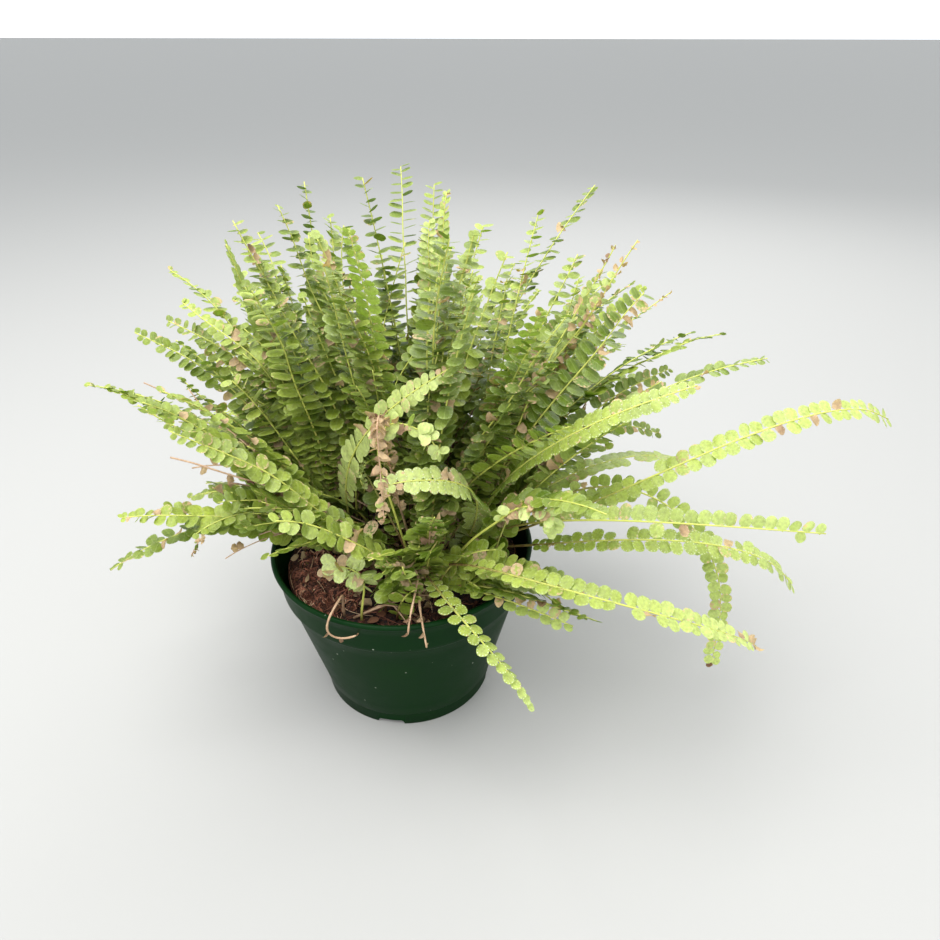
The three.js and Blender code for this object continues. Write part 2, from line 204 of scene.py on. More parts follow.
# Leaf tissue: a thin waxy leaf. The skin gives a soft sheen, light comes through from behind, the
# underside is duller, chalky dots line the rim, and dying tissue turns to straw and brown in blotches.
def leaf_tissue(tree, colours):
    place = add_node(tree, "TexCoord").outputs["Object"]
    spot = add_node(tree, "SeparateXYZ", {0: add_node(tree, "UVMap", uv_map="leaflet").outputs[0]})
    look = add_node(tree, "Attribute", attribute_name="leaf")
    tint, youth, dryness = add_node(tree, "SeparateColor", {0: look.outputs["Color"]}).outputs[:3]

    # The underside's UVs are shifted up by 2.
    under = add_node(tree, "Math", {0: spot.outputs[1], 1: 1.5}, operation="GREATER_THAN").outputs[0]
    shift = add_node(tree, "Math", {0: under, 1: -2.0, 2: spot.outputs[1]}, operation="MULTIPLY_ADD")
    along = add_node(tree, "Math", {0: spot.outputs[0], 1: 2.0, 2: -1.0}, operation="MULTIPLY_ADD").outputs[0]
    sideways = {0: shift.outputs[0], 1: 2.0, 2: -1.0}
    across = add_node(tree, "Math", sideways, operation="MULTIPLY_ADD").outputs[0]
    off_rib = add_node(tree, "Math", {0: across}, operation="ABSOLUTE").outputs[0]
    flat = add_node(tree, "CombineXYZ", {0: along, 1: across}).outputs[0]
    reach = add_node(tree, "VectorMath", {0: flat}, operation="LENGTH").outputs["Value"]
    rim = add_node(tree, "MapRange", {0: reach, 1: 0.74, 2: 1.0}, interpolation_type="SMOOTHSTEP").outputs[0]

    # Side veins run forward from the midrib, about 1 mm apart.
    slant = add_node(tree, "Math", {0: off_rib, 1: -0.8, 2: along}, operation="MULTIPLY_ADD").outputs[0]
    wave = add_node(tree, "Math", {0: slant, 1: 26.0}, operation="MULTIPLY").outputs[0]
    vein = add_node(tree, "Math", {0: wave}, operation="SINE").outputs[0]
    rib = add_node(tree, "MapRange", {0: off_rib, 1: 0.09, 2: 0.0}).outputs[0]

    # Chalky dots sit on a ring inside the rim.
    angle = add_node(tree, "Math", {0: across, 1: along}, operation="ARCTAN2").outputs[0]
    round_rim = add_node(tree, "Math", {0: angle, 1: 11.0}, operation="MULTIPLY").outputs[0]
    beat = add_node(tree, "Math", {0: round_rim}, operation="SINE").outputs[0]
    dot = add_node(tree, "MapRange", {0: beat, 1: 0.55, 2: 0.8}).outputs[0]
    ring = add_node(tree, "Math", {0: reach, 1: 0.84, 2: 0.07}, operation="COMPARE").outputs[0]
    rim_dots = add_node(tree, "Math", {0: dot, 1: ring}, operation="MULTIPLY").outputs[0]
    cells = add_node(tree, "TexVoronoi", {"Vector": place, "Scale": 900.0}, feature="F1").outputs["Distance"]
    stray = add_node(tree, "MapRange", {0: cells, 1: 0.16, 2: 0.09, 4: 0.8}).outputs[0]
    dots = add_node(tree, "Math", {0: rim_dots, 1: stray}, operation="MAXIMUM").outputs[0]
    limed = add_node(tree, "Math", {0: dots, 1: look.outputs["Alpha"]}, operation="MULTIPLY").outputs[0]

    # Patches of about 20 mm, and mottling of about 1.5 mm.
    patch = add_node(tree, "TexNoise", {"Vector": place, "Scale": 45.0, "Detail": 1.0}).outputs["Fac"]
    mottle = add_node(tree, "TexNoise", {"Vector": place, "Scale": 650.0, "Detail": 2.0}).outputs["Fac"]
    shade = add_node(tree, "Math", {0: patch, 1: 0.5, 2: tint}, operation="MULTIPLY_ADD").outputs[0]
    shade = add_node(tree, "MapRange", {0: shade, 1: 0.2, 2: 1.3}).outputs[0]

    rim_share = add_node(tree, "Math", {0: rim, 1: 0.2}, operation="MULTIPLY").outputs[0]
    rib_share = add_node(tree, "Math", {0: rib, 1: 0.3}, operation="MULTIPLY").outputs[0]
    under_share = add_node(tree, "Math", {0: under, 1: 0.4}, operation="MULTIPLY").outputs[0]
    skin = colours.leaf_dark
    for share, tissue in (
        (shade, colours.leaf_light),
        (youth, colours.leaf_young),
        (rim_share, colours.leaf_edge),
        (rib_share, colours.leaf_edge),
        (under_share, colours.leaf_under),
    ):
        skin = add_node(tree, "Mix", {0: share, 6: skin, 7: tissue}, data_type="RGBA").outputs[2]
    grain = add_node(tree, "MapRange", {0: mottle, 1: 0.3, 2: 0.7, 3: 0.82, 4: 1.12}).outputs[0]
    shaded = dict(data_type="RGBA", blend_type="MULTIPLY")
    skin = add_node(tree, "Mix", {0: 1.0, 6: skin, 7: grain}, **shaded).outputs[2]

    # Dry tissue spreads from the rim inwards, in blotches.
    edge_first = add_node(tree, "Math", {0: reach, 1: 0.35, 2: mottle}, operation="MULTIPLY_ADD").outputs[0]
    spread = add_node(tree, "Math", {0: edge_first, 1: dryness}, operation="ADD").outputs[0]
    dead = add_node(tree, "MapRange", {0: spread, 1: 1.02, 2: 1.16}).outputs[0]
    browner = add_node(tree, "Math", {0: dryness, 1: 0.3, 2: patch}, operation="MULTIPLY_ADD").outputs[0]
    brown = add_node(tree, "MapRange", {0: browner, 1: 0.78, 2: 1.04}).outputs[0]
    straw = {0: brown, 6: colours.dead_light, 7: colours.dead_dark}
    straw = add_node(tree, "Mix", straw, data_type="RGBA").outputs[2]
    straw = add_node(tree, "Mix", {0: 1.0, 6: straw, 7: grain}, **shaded).outputs[2]
    skin = add_node(tree, "Mix", {0: dead, 6: skin, 7: straw}, data_type="RGBA").outputs[2]
    skin = add_node(tree, "Mix", {0: limed, 6: skin, 7: colours.lime}, data_type="RGBA").outputs[2]

    relief = add_node(tree, "Math", {0: vein, 1: 0.25, 2: mottle}, operation="MULTIPLY_ADD").outputs[0]
    bump = add_node(tree, "Bump", {"Height": relief, "Strength": 0.45, "Distance": 0.25 * MM})
    waxy = add_node(tree, "MapRange", {0: mottle, 1: 0.3, 2: 0.7, 3: 0.26, 4: 0.42}).outputs[0]
    rough = add_node(tree, "Math", {0: dead, 1: 0.35, 2: waxy}, operation="MULTIPLY_ADD").outputs[0]
    surface = add_node(
        tree,
        "BsdfPrincipled",
        {"Base Color": skin, "Roughness": rough, "Normal": bump.outputs[0], "Specular IOR Level": 0.55},
    )
    # Light that has passed through the leaf comes out yellower.
    lit = add_node(tree, "Mix", {0: 1.0, 6: skin, 7: linear("#ECFF78")}, **shaded).outputs[2]
    through = add_node(tree, "BsdfTranslucent", {"Color": lit, "Normal": bump.outputs[0]})
    both = add_node(tree, "MixShader", {0: 0.5, 1: surface.outputs[0], 2: through.outputs[0]})
    return both.outputs[0]


# Stalk: a wiry stem, brown at the foot and yellow-green towards the tip, with a grain of about 2 mm.
def wiry_stalk(tree, colours):
    place = add_node(tree, "TexCoord").outputs["Object"]
    look = add_node(tree, "Attribute", attribute_name="leaf")
    along, youth, dryness = add_node(tree, "SeparateColor", {0: look.outputs["Color"]}).outputs[:3]
    grain = add_node(tree, "TexNoise", {"Vector": place, "Scale": 420.0, "Detail": 3.0}).outputs["Fac"]
    speckled = add_node(tree, "Math", {0: grain, 1: 0.5, 2: along}, operation="MULTIPLY_ADD").outputs[0]
    green = add_node(tree, "Math", {0: youth, 1: 0.35, 2: speckled}, operation="MULTIPLY_ADD").outputs[0]
    share = add_node(tree, "MapRange", {0: green, 1: 0.38, 2: 0.85}).outputs[0]
    stem = add_node(
        tree, "Mix", {0: share, 6: colours.stalk_foot, 7: colours.stalk_tip}, data_type="RGBA"
    ).outputs[2]
    straw = add_node(
        tree, "Mix", {0: grain, 6: colours.dead_light, 7: colours.dead_dark}, data_type="RGBA"
    ).outputs[2]
    skin = add_node(tree, "Mix", {0: dryness, 6: stem, 7: straw}, data_type="RGBA").outputs[2]
    bump = add_node(tree, "Bump", {"Height": grain, "Strength": 0.4, "Distance": 0.2 * MM})
    rough = add_node(tree, "MapRange", {0: grain, 1: 0.3, 2: 0.7, 3: 0.45, 4: 0.7}).outputs[0]
    return add_node(
        tree, "BsdfPrincipled", {"Base Color": skin, "Roughness": rough, "Normal": bump.outputs[0]}
    ).outputs[0]


# Pot: injection-moulded polypropylene. It has a satin skin with faint waviness, and handling leaves
# pale specks of dust and dried splashes, and rubbed patches that are a little rougher. The patches are
# about 36 mm across, the specks 5 mm apart, and the scratches run round the wall.
def moulded_polypropylene(tree, colours):
    place = add_node(tree, "TexCoord").outputs["Object"]
    rubbed = add_node(tree, "TexNoise", {"Vector": place, "Scale": 28.0, "Detail": 5.0, "Roughness": 0.65})
    worn = add_node(tree, "MapRange", {0: rubbed.outputs["Fac"], 1: 0.5, 2: 0.78, 4: 0.5}).outputs[0]
    specks = add_node(tree, "TexVoronoi", {"Vector": place, "Scale": 210.0}, feature="F1")
    near = add_node(tree, "MapRange", {0: specks.outputs["Distance"], 1: 0.13, 2: 0.06}).outputs[0]
    chosen = add_node(tree, "SeparateColor", {0: specks.outputs["Color"]}).outputs[0]
    few = add_node(tree, "Math", {0: chosen, 1: 0.86}, operation="GREATER_THAN").outputs[0]
    dust = add_node(tree, "Math", {0: near, 1: few}, operation="MULTIPLY").outputs[0]
    stretched = add_node(tree, "Mapping", {"Vector": place, "Scale": (1.0, 1.0, 14.0)}).outputs[0]
    hair = add_node(tree, "TexNoise", {"Vector": stretched, "Scale": 95.0, "Detail": 4.0}).outputs["Fac"]
    scratch = add_node(tree, "MapRange", {0: hair, 1: 0.66, 2: 0.74, 4: 0.35}).outputs[0]
    pale = add_node(tree, "Math", {0: worn, 1: scratch}, operation="ADD").outputs[0]
    skin = add_node(tree, "Mix", {0: pale, 6: colours.pot, 7: colours.pot_scuff}, data_type="RGBA").outputs[2]
    skin = add_node(tree, "Mix", {0: dust, 6: skin, 7: linear("#8C9384")}, data_type="RGBA").outputs[2]
    fine = add_node(tree, "TexNoise", {"Vector": place, "Scale": 900.0, "Detail": 2.0}).outputs["Fac"]
    relief = add_node(tree, "Math", {0: dust, 1: 0.6, 2: fine}, operation="MULTIPLY_ADD").outputs[0]
    bump = add_node(tree, "Bump", {"Height": relief, "Strength": 0.12, "Distance": 0.2 * MM})
    rough = add_node(tree, "MapRange", {0: rubbed.outputs["Fac"], 1: 0.3, 2: 0.7, 3: 0.3, 4: 0.48}).outputs[0]
    return add_node(
        tree,
        "BsdfPrincipled",
        {
            "Base Color": skin,
            "Roughness": rough,
            "Normal": bump.outputs[0],
            "IOR": 1.49,
            "Specular IOR Level": 0.05,
        },
    ).outputs[0]


# Potting mix: peat and coir, dark where it is moist and red-brown where it has dried, never glossy, and
# darker away from the open bare patch, under the foliage: partly moist peat, partly painted shade.
# Its clumps are about 8 mm across and its grit about 2 mm.
def peat_and_coir(tree, colours):
    place = add_node(tree, "TexCoord").outputs["Object"]
    clumps = add_node(tree, "TexNoise", {"Vector": place, "Scale": 130.0, "Detail": 6.0, "Roughness": 0.7})
    grit = add_node(tree, "TexVoronoi", {"Vector": place, "Scale": 520.0}, feature="F1")
    gritty = {0: grit.outputs["Distance"], 1: 0.45, 2: clumps.outputs["Fac"]}
    blend = add_node(tree, "Math", gritty, operation="MULTIPLY_ADD").outputs[0]
    # Away from the open bare patch, under the foliage, the mix is drawn darker: partly moist peat, partly
    # painted shade.
    dry = add_node(tree, "Attribute", attribute_name="dry").outputs["Fac"]
    painted_shade_and_damp = add_node(tree, "MapRange", {0: dry, 3: 0.2, 4: -0.02}).outputs[0]
    drier_and_less_shaded = add_node(tree, "Math", {0: blend, 1: painted_shade_and_damp}, operation="SUBTRACT").outputs[0]
    share = add_node(tree, "MapRange", {0: drier_and_less_shaded, 1: 0.48, 2: 0.9}).outputs[0]
    skin = add_node(
        tree, "Mix", {0: share, 6: colours.mix_dark, 7: colours.mix_light}, data_type="RGBA"
    ).outputs[2]
    bump = add_node(tree, "Bump", {"Height": blend, "Strength": 0.9, "Distance": 1.2 * MM})
    rough = add_node(tree, "MapRange", {0: clumps.outputs["Fac"], 1: 0.3, 2: 0.7, 3: 0.8, 4: 1.0}).outputs[0]
    return add_node(
        tree, "BsdfPrincipled", {"Base Color": skin, "Roughness": rough, "Normal": bump.outputs[0]}
    ).outputs[0]


# Coir fibre: coarse plant hair, red-brown to straw, a different shade for every strand.
def coir_fibre(tree, colours):
    look = add_node(tree, "Attribute", attribute_name="leaf")
    tint = add_node(tree, "SeparateColor", {0: look.outputs["Color"]}).outputs[0]
    place = add_node(tree, "TexCoord").outputs["Object"]
    grain = add_node(tree, "TexNoise", {"Vector": place, "Scale": 700.0}).outputs["Fac"]
    straw_share = add_node(tree, "MapRange", {0: tint, 1: 0.86, 2: 0.97}).outputs[0]
    skin = colours.mix_dark
    for share, strand in ((tint, colours.fibre), (straw_share, colours.dead_light)):
        skin = add_node(tree, "Mix", {0: share, 6: skin, 7: strand}, data_type="RGBA").outputs[2]
    bump = add_node(tree, "Bump", {"Height": grain, "Strength": 0.5, "Distance": 0.2 * MM})
    rough = add_node(tree, "MapRange", {0: grain, 1: 0.3, 2: 0.7, 3: 0.75, 4: 0.95}).outputs[0]
    return add_node(
        tree, "BsdfPrincipled", {"Base Color": skin, "Roughness": rough, "Normal": bump.outputs[0]}
    ).outputs[0]


# ---------------------------------------------------------------- pieces


def finish_piece(bm, name, materials, replaces=()):
    """Makes the object of a finished bmesh, with its materials and its place in the frame."""
    for face in bm.faces:
        face.smooth = True
    mesh = bpy.data.meshes.new(name)
    bm.to_mesh(mesh)
    bm.free()
    for made in materials:
        mesh.materials.append(made)
    piece = bpy.data.objects.new(name, mesh)
    bpy.context.scene.collection.objects.link(piece)
    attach(piece, BODY)
    if replaces:
        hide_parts(*replaces)
    return piece


def absorb(bm, part):
    """Moves everything in one bmesh into another."""
    mesh = bpy.data.meshes.new("part")
    part.to_mesh(mesh)
    part.free()
    bm.from_mesh(mesh)
    bpy.data.meshes.remove(mesh)


def leaning(slope, turn):
    """A direction that leans off the upright by a slope, towards a turn around it, in radians."""
    return Vector((math.sin(slope) * math.cos(turn), math.sin(slope) * math.sin(turn), math.cos(slope)))


def placed(origin, x_axis, y_axis, z_axis):
    """The matrix that takes a part to an origin and three axes."""
    return Matrix.Translation(origin) @ Matrix((x_axis, y_axis, z_axis)).transposed().to_4x4()


class Line:
    """A smooth line with a side and a face at each of its closely spaced stations."""

    def __init__(self, sections, step=2.5 * MM):
        points = [point for point, _ in sections]
        length = sum((b - a).length for a, b in zip(points, points[1:]))
        self.count = max(6, round(length / step))
        self.length = length
        self.stations = [self.station(sections, i / self.count) for i in range(self.count + 1)]

    @staticmethod
    def station(sections, share):
        spans = len(sections) - 1
        index = min(int(share * spans), spans - 1)
        t = share * spans - index
        p0, p1, p2, p3 = (sections[min(max(index + k, 0), spans)][0] for k in (-1, 0, 1, 2))
        square, cube = 2 * p0 - 5 * p1 + 4 * p2 - p3, 3 * p1 - p0 - 3 * p2 + p3
        point = 0.5 * (2 * p1 + (p2 - p0) * t + square * t**2 + cube * t**3)
        slope = (p2 - p0) + (2 * square) * t + 3 * cube * t**2
        along = slope.normalized()
        face = sections[index][1].lerp(sections[index + 1][1], t)
        face = (face - along * face.dot(along)).normalized()
        return point, along, face

    def at(self, distance):
        """Point, direction along, side and face at a distance from the foot."""
        share = min(max(distance / self.length, 0), 1) * self.count
        index = min(int(share), self.count - 1)
        t = share - index
        a, b = self.stations[index], self.stations[index + 1]
        point, along, face = (a[k].lerp(b[k], t) for k in range(3))
        along.normalize()
        face = (face - along * face.dot(along)).normalized()
        return point, along, along.cross(face), face


def cad_sections(node):
    """Reads a CAD frond's sections from its foot to its tip: the middle and the face of each."""
    shell = bmesh.new()
    shell.from_mesh(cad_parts[node].data)
    bmesh.ops.remove_doubles(shell, verts=shell.verts, dist=0.005 * MM)
    shell.verts.index_update()

    def off_the_foot(vert):
        outside = max(0, vert.co.xy.length - 62 * MM)
        return abs(vert.co.z - MIX_HIGH.z) + 3 * outside

    foot = min(shell.verts, key=off_the_foot)
    ring = sorted(shell.verts, key=lambda vert: (vert.co - foot.co).length)[:6]
    seen, rings = set(ring), []
    while ring:
        rings.append([vert.co.copy() for vert in ring])
        reached = {e.other_vert(v) for v in ring for e in v.link_edges} - seen
        ring = sorted(reached, key=lambda vert: vert.index)
        seen.update(ring)
    shell.free()

    middles, faces = [], []
    for ring in rings:
        centre = sum(ring, Vector()) / len(ring)
        a, b = max(((a, b) for a in ring for b in ring), key=lambda pair: (pair[0] - pair[1]).length)
        across = (a - b).normalized()
        half = (a - b).length / 2
        ridge = [co for co in ring if abs((co - centre).dot(across)) < half / 2]
        edges = [co for co in ring if abs((co - centre).dot(across)) >= half / 2]
        middle = sum(ridge, Vector()) / len(ridge) if ridge else centre
        middles.append(middle)
        wide = half > 2 * MM and edges
        faces.append((sum(edges, Vector()) / len(edges) - middle).normalized() if wide else None)
    known = [i for i, face in enumerate(faces) if face]
    if not known:
        faces = [UP.cross(Vector((0.3, 1, 0.1))).normalized()] * len(faces)
        known = range(len(faces))
    nearest = [faces[min(known, key=lambda k: abs(k - i))] for i in range(len(faces))]
    return list(zip(middles, nearest))


def habit_sections(foot, heading, sway, lean, bend, length, twist, steps=13):
    """The sections of a frond that leaves its crown at one lean and bends over to another."""
    sections, point = [], foot.copy()
    for i in range(steps + 1):
        share = i / steps
        tilt = math.radians(lean[0] + (lean[1] - lean[0]) * share**bend)
        turn = math.radians(heading + sway * share)
        roll = math.radians(twist[0] + (twist[1] - twist[0]) * share)
        outward = Vector((math.cos(turn), math.sin(turn), 0))
        level = Vector((-math.sin(turn), math.cos(turn), 0))
        along = outward * math.sin(tilt) + UP * math.cos(tilt)
        inner = UP * math.sin(tilt) - outward * math.cos(tilt)
        sections.append((point.copy(), inner * math.cos(roll) - level * math.sin(roll)))
        point += along * (length / steps)
    return sections


# ---------------------------------------------------------------- stalks and leaflets

LEAF_LAYER = "leaf"  # per point: tint, youth, dryness, and how much lime it carries
LEAFLET_UV = "leaflet"


def add_tube(bm, line, radius, material_index, look, sides=6, spacing=5 * MM, start=0.0, end=1.0):
    """A closed tube along a stretch of a line. radius and look are functions of the share along it."""
    part = bmesh.new()
    layer = part.verts.layers.float_color.new(LEAF_LAYER)
    part.loops.layers.uv.new(LEAFLET_UV)
    steps = max(3, round(line.length * (end - start) / spacing))

    def ring_frame(i):
        share = start + (end - start) * i / steps
        point, along, side, face = line.at(share * line.length)
        return placed(point, side, face, along) @ Matrix.Scale(radius(share), 4)

    before = ring_frame(0)
    ring = bmesh.ops.create_circle(part, cap_ends=True, segments=sides, radius=1, matrix=before)["verts"]
    cap = part.faces[:][0] if part.faces else None
    for vert in ring:
        vert[layer] = look(start)
    for i in range(1, steps + 1):
        grown = bmesh.ops.extrude_face_region(part, geom=[cap])["geom"]
        cap = next(item for item in grown if isinstance(item, bmesh.types.BMFace))
        tips = [item for item in grown if isinstance(item, bmesh.types.BMVert)]
        after = ring_frame(i)
        bmesh.ops.transform(part, matrix=after @ before.inverted(), verts=tips)
        for vert in tips:
            vert[layer] = look(start + (end - start) * i / steps)
        before = after
    bmesh.ops.recalc_face_normals(part, faces=part.faces)
    for face in part.faces:
        face.material_index = material_index
    absorb(bm, part)


def leaflet_outline(angle, lobe, notch_at, notch, scallops, phase):
    """How far a leaflet's rim lies from its middle, in a direction counted from its tip."""
    square = 0.07 * math.sin(2 * angle) ** 2
    blunt_foot = -0.10 * math.exp(-(((abs(angle) - math.pi) / 0.45) ** 2))
    ear = lobe * math.exp(-(((angle - 2.35) / 0.42) ** 2))
    cut = -notch * math.exp(-(((angle - notch_at) / 0.2) ** 2))
    return 1 + square + blunt_foot + ear + cut + scallops * math.sin(8 * angle + phase)


# Each kind of leaflet: its outline and how it bends. cup and curl are in shares of its length.
LEAFLET_KINDS = {
    "round": dict(lobe=0.08, notch_at=0.5, notch=0.0, scallops=0.012, cup=-0.10, curl=-0.05, crinkle=0.006),
    "oblong": dict(lobe=0.12, notch_at=0.5, notch=0.0, scallops=0.018, cup=-0.16, curl=-0.10, crinkle=0.01),
    "notched": dict(
        lobe=0.08, notch_at=0.45, notch=0.17, scallops=0.02, cup=-0.06, curl=-0.12, crinkle=0.012
    ),
    "wavy": dict(lobe=0.1, notch_at=-0.7, notch=0.06, scallops=0.035, cup=0.08, curl=-0.16, crinkle=0.03),
    "cupped": dict(lobe=0.06, notch_at=0.5, notch=0.0, scallops=0.01, cup=0.22, curl=0.06, crinkle=0.01),
    "curled": dict(lobe=0.1, notch_at=-0.5, notch=0.12, scallops=0.05, cup=0.75, curl=-0.35, crinkle=0.07),
    "crumpled": dict(lobe=0.0, notch_at=0.9, notch=0.2, scallops=0.08, cup=-0.6, curl=0.5, crinkle=0.13),
}
LIVING = ["round", "round", "oblong", "oblong", "notched", "wavy", "cupped"]
DRY = ["curled", "crumpled"]


def leaflet_mesh(kind, mirrored):
    """One leaflet, a unit long from its foot along +X, as a thin closed shell with its top to +Z."""
    name = f"leaflet_{kind}_{'left' if mirrored else 'right'}"
    found = bpy.data.meshes.get(name)
    if found:
        return found
    shape = LEAFLET_KINDS[kind]
    seed = Vector((len(kind), 3.1, ord(kind[0]) * 0.37))
    bm = bmesh.new()
    bm.verts.layers.float_color.new(LEAF_LAYER)
    bmesh.ops.create_uvsphere(bm, u_segments=14, v_segments=4, radius=1)
    uv = bm.loops.layers.uv.new(LEAFLET_UV)
    for face in bm.faces:
        under = 2.0 if face.calc_center_median().z < 0 else 0.0
        for loop in face.loops:
            loop[uv].uv = (loop.vert.co.x / 2 + 0.5, loop.vert.co.y / 2 + 0.5 + under)
    for edge in bm.edges:
        edge.smooth = not all(abs(vert.co.z) < 0.01 for vert in edge.verts)
    for vert in bm.verts:
        reach = vert.co.xy.length
        thick = 0.022 * vert.co.z
        angle = math.atan2(vert.co.y, vert.co.x)
        outline = {key: shape[key] for key in ("lobe", "notch_at", "notch", "scallops")}
        rim = 1 + (leaflet_outline(angle, phase=seed.z, **outline) - 1) * reach**2
        x = 0.49 + 0.5 * rim * vert.co.x
        y = 0.5 * rim * vert.co.y
        wrinkle = shape["crinkle"] * noise.noise(Vector((x * 3.2, y * 3.2, 0)) + seed)
        height = shape["cup"] * y * y + shape["curl"] * x * x + wrinkle * (0.3 + reach)
        vert.co = (x, -y if mirrored else y, height + thick)
    if mirrored:
        bmesh.ops.reverse_faces(bm, faces=bm.faces)
    mesh = bpy.data.meshes.new(name)
    bm.to_mesh(mesh)
    bm.free()
    return mesh


def add_leaflet(bm, kind, mirrored, matrix, look):
    """Sets one leaflet into a frond's bmesh, with its look on each of its points."""
    first = len(bm.verts)
    bm.from_mesh(leaflet_mesh(kind, mirrored))
    bm.verts.ensure_lookup_table()
    added = bm.verts[first:]
    bmesh.ops.transform(bm, matrix=matrix, verts=added)
    layer = bm.verts.layers.float_color[LEAF_LAYER]
    for vert in added:
        vert[layer] = look


def add_crumpled(bm, line, share, sign, ahead, size_mm, look):
    """Hangs a crumpled leaflet of a length and width on a dead stalk, out to one side and ahead."""
    point, along, side, face = line.at(share * line.length)
    out = (side * sign + along * ahead).normalized()
    level = (face - out * face.dot(out)).normalized()
    long, wide = size_mm[0] * MM, size_mm[1] * MM
    matrix = placed(point, out, level.cross(out), level) @ Matrix.Diagonal((long, wide, long, 1))
    add_leaflet(bm, "crumpled", False, matrix, look)


# How a frond's leaflets look. Ranges are drawn once for each frond.
# facing: how far leaflets turn their faces to the sky. youth: at the foot and at the tip.
# gaps: the share of leaflets lost. dead: the share that has dried. lime: how chalky the dots are.
HABIT = dict(
    length=1.0, width=1.0, spacing=1.0, facing=(0.3, 1.0), tint=(0.0, 0.9), youth=(0.0, 0.2), gaps=0.05,
    dead=0.035, dryness=0.0, lime=0.15, bare=0.2, ahead=14, lift=2, jitter=18, kept_row=0, spent=(1, 1),
    tip_size=0.3,
)
HABITS = {
    "frond": {},
    "upright": dict(facing=(0.84, 1.0), ahead=5, lift=-3, jitter=14, length=1.14, spacing=1.02, tip_size=0.5),
    "trailing": dict(
        facing=(0.1, 0.3), youth=(0.15, 0.8), tint=(0.5, 0.9), lime=0.7, gaps=0.02, jitter=8, length=0.88,
        width=0.88, tip_size=0.62, spacing=1.12,
    ),
    "young": dict(facing=(0.1, 0.4), youth=(0.35, 0.6), tint=(0.6, 0.9), lime=0.5, gaps=0.01, jitter=6),
    "tired": dict(
        length=0.8, width=0.8, facing=(0.2, 0.9), tint=(0.2, 0.7), youth=(0.1, 0.5), gaps=0.16, dead=0.3,
        jitter=24, spent=(0.88, 1),
    ),
    "short": dict(
        spacing=1.1, facing=(0.1, 0.8), tint=(0.0, 0.7), youth=(0.0, 0.1), gaps=0.06, bare=0.1, jitter=20,
        tip_size=0.5,
    ),
    "dry": dict(
        length=0.66, width=0.6, spacing=0.55, facing=(0, 0.2), tint=(0.2, 0.6), youth=(0.3, 0.3), gaps=0.06,
        dead=1.0, dryness=1.0, bare=0.24, ahead=30, lift=-20, jitter=42, tip_size=0.5,
    ),
    "curled": dict(
        length=0.74, width=0.7, spacing=1.0, tint=(0.7, 0.9), youth=(0.9, 1.0), gaps=0.05, dead=0.14,
        lime=0.3, lift=28, jitter=34, tip_size=0.7,
    ),
    "fiddlehead": dict(
        length=0.34, width=0.34, spacing=0.42, facing=(0, 0), youth=(0.5, 0.9), gaps=0, dead=0, bare=0.55,
        ahead=35, lift=38, jitter=8,
    ),
}


def leaflet_scale(share, tip_size):
    """The size of a leaflet at a share of the blade's length, against a full one."""
    opening = 0.62 + 0.38 * min(1, share / 0.22)
    closing = max(0.0, 1 - share**3.2) ** 0.75
    return opening * (tip_size + (1 - tip_size) * closing)


def add_frond(bm, line, habit, rng):
    """Builds a frond along a line: its stalk, and two rows of leaflets from the bare foot to the tip."""
    sizes = settings().fronds
    look = {**HABIT, **HABITS.get(habit, {})} if isinstance(habit, str) else {**HABIT, **habit}
    facing = rng.uniform(*look["facing"])
    tint = rng.uniform(*look["tint"])
    youth_shift = rng.uniform(-0.08, 0.14)
    spent_from, spent_to = look["spent"]
    dried = look["dryness"]
    lime = look["lime"] * rng.uniform(0.2, 1.4)

    def youth(share):
        low, high = look["youth"]
        return min(max(low + (high - low) * share**2 + youth_shift, 0), 1)

    def stalk_radius(share):
        return sizes.stalk_foot + (sizes.stalk_tip - sizes.stalk_foot) * share**0.7

    add_tube(bm, line, stalk_radius, 1, lambda share: (share, youth(share), dried, 0))

    bare = look["bare"] * line.length
    blade = line.length - bare
    pitch = sizes.spacing * look["spacing"]
    distance = bare
    while distance < line.length - 0.6 * MM:
        share = (distance - bare) / blade
        scale = leaflet_scale(share, look["tip_size"])
        for sign in (1, -1):
            spot = distance + (0.25 * pitch if sign > 0 else -0.25 * pitch) + rng.uniform(-0.4, 0.4) * MM
            lost = rng.random() < look["gaps"] * (1.6 - share)
            other_row = look["kept_row"] * sign < 0 and rng.random() > 0.2
            dead = rng.random() < look["dead"] * (1.8 - 1.2 * share)
            numbers = [rng.gauss(0, 1) for _ in range(6)]
            if lost or other_row:
                continue
            dead = dead or spent_from < share < spent_to
            point, along, side, face = line.at(spot)
            # The row leans forward, lifts off the stalk's plane and is turned a little at random.
            ahead = math.radians(look["ahead"] + 18 * share**2 + 0.5 * look["jitter"] * numbers[0])
            lift = math.radians(look["lift"] + 0.5 * look["jitter"] * numbers[1])
            out = side * sign * math.cos(ahead) + along * math.sin(ahead)
            out = (out * math.cos(lift) + face * math.sin(lift)).normalized()
            level = face - out * face.dot(out)
            sky = UP - out * UP.dot(out)
            if sky.length > 0.05 and level.length > 0.05:
                level = level.normalized().lerp(sky.normalized(), facing)
            turn = math.radians(look["jitter"] * numbers[2])
            level.normalize()
            wide = level.cross(out)
            level = level * math.cos(turn) + wide * math.sin(turn)
            wide = level.cross(out)
            length = sizes.leaflet_length * look["length"] * scale * (1 + 0.07 * numbers[3])
            width = sizes.leaflet_width * look["width"] * scale * (1 + 0.07 * numbers[4])
            if dead:
                length *= 0.8
                width *= 0.75
            kind = rng.choice(DRY if dead else LIVING)
            foot = point + out * stalk_radius(distance / line.length) * 0.4
            matrix = placed(foot, out, wide, level) @ Matrix.Diagonal((length, width, length, 1))
            spread = (
                min(max(tint + 0.13 * numbers[5], 0), 1),
                min(max(youth(share) + 0.05 * numbers[3], 0), 1),
                rng.uniform(0.55, 1.0) if dead else max(0, 0.12 * numbers[1] + 0.04),
                lime,
            )
            add_leaflet(bm, kind, sign < 0, matrix, spread)
        distance += pitch * (0.3 + 0.7 * scale)


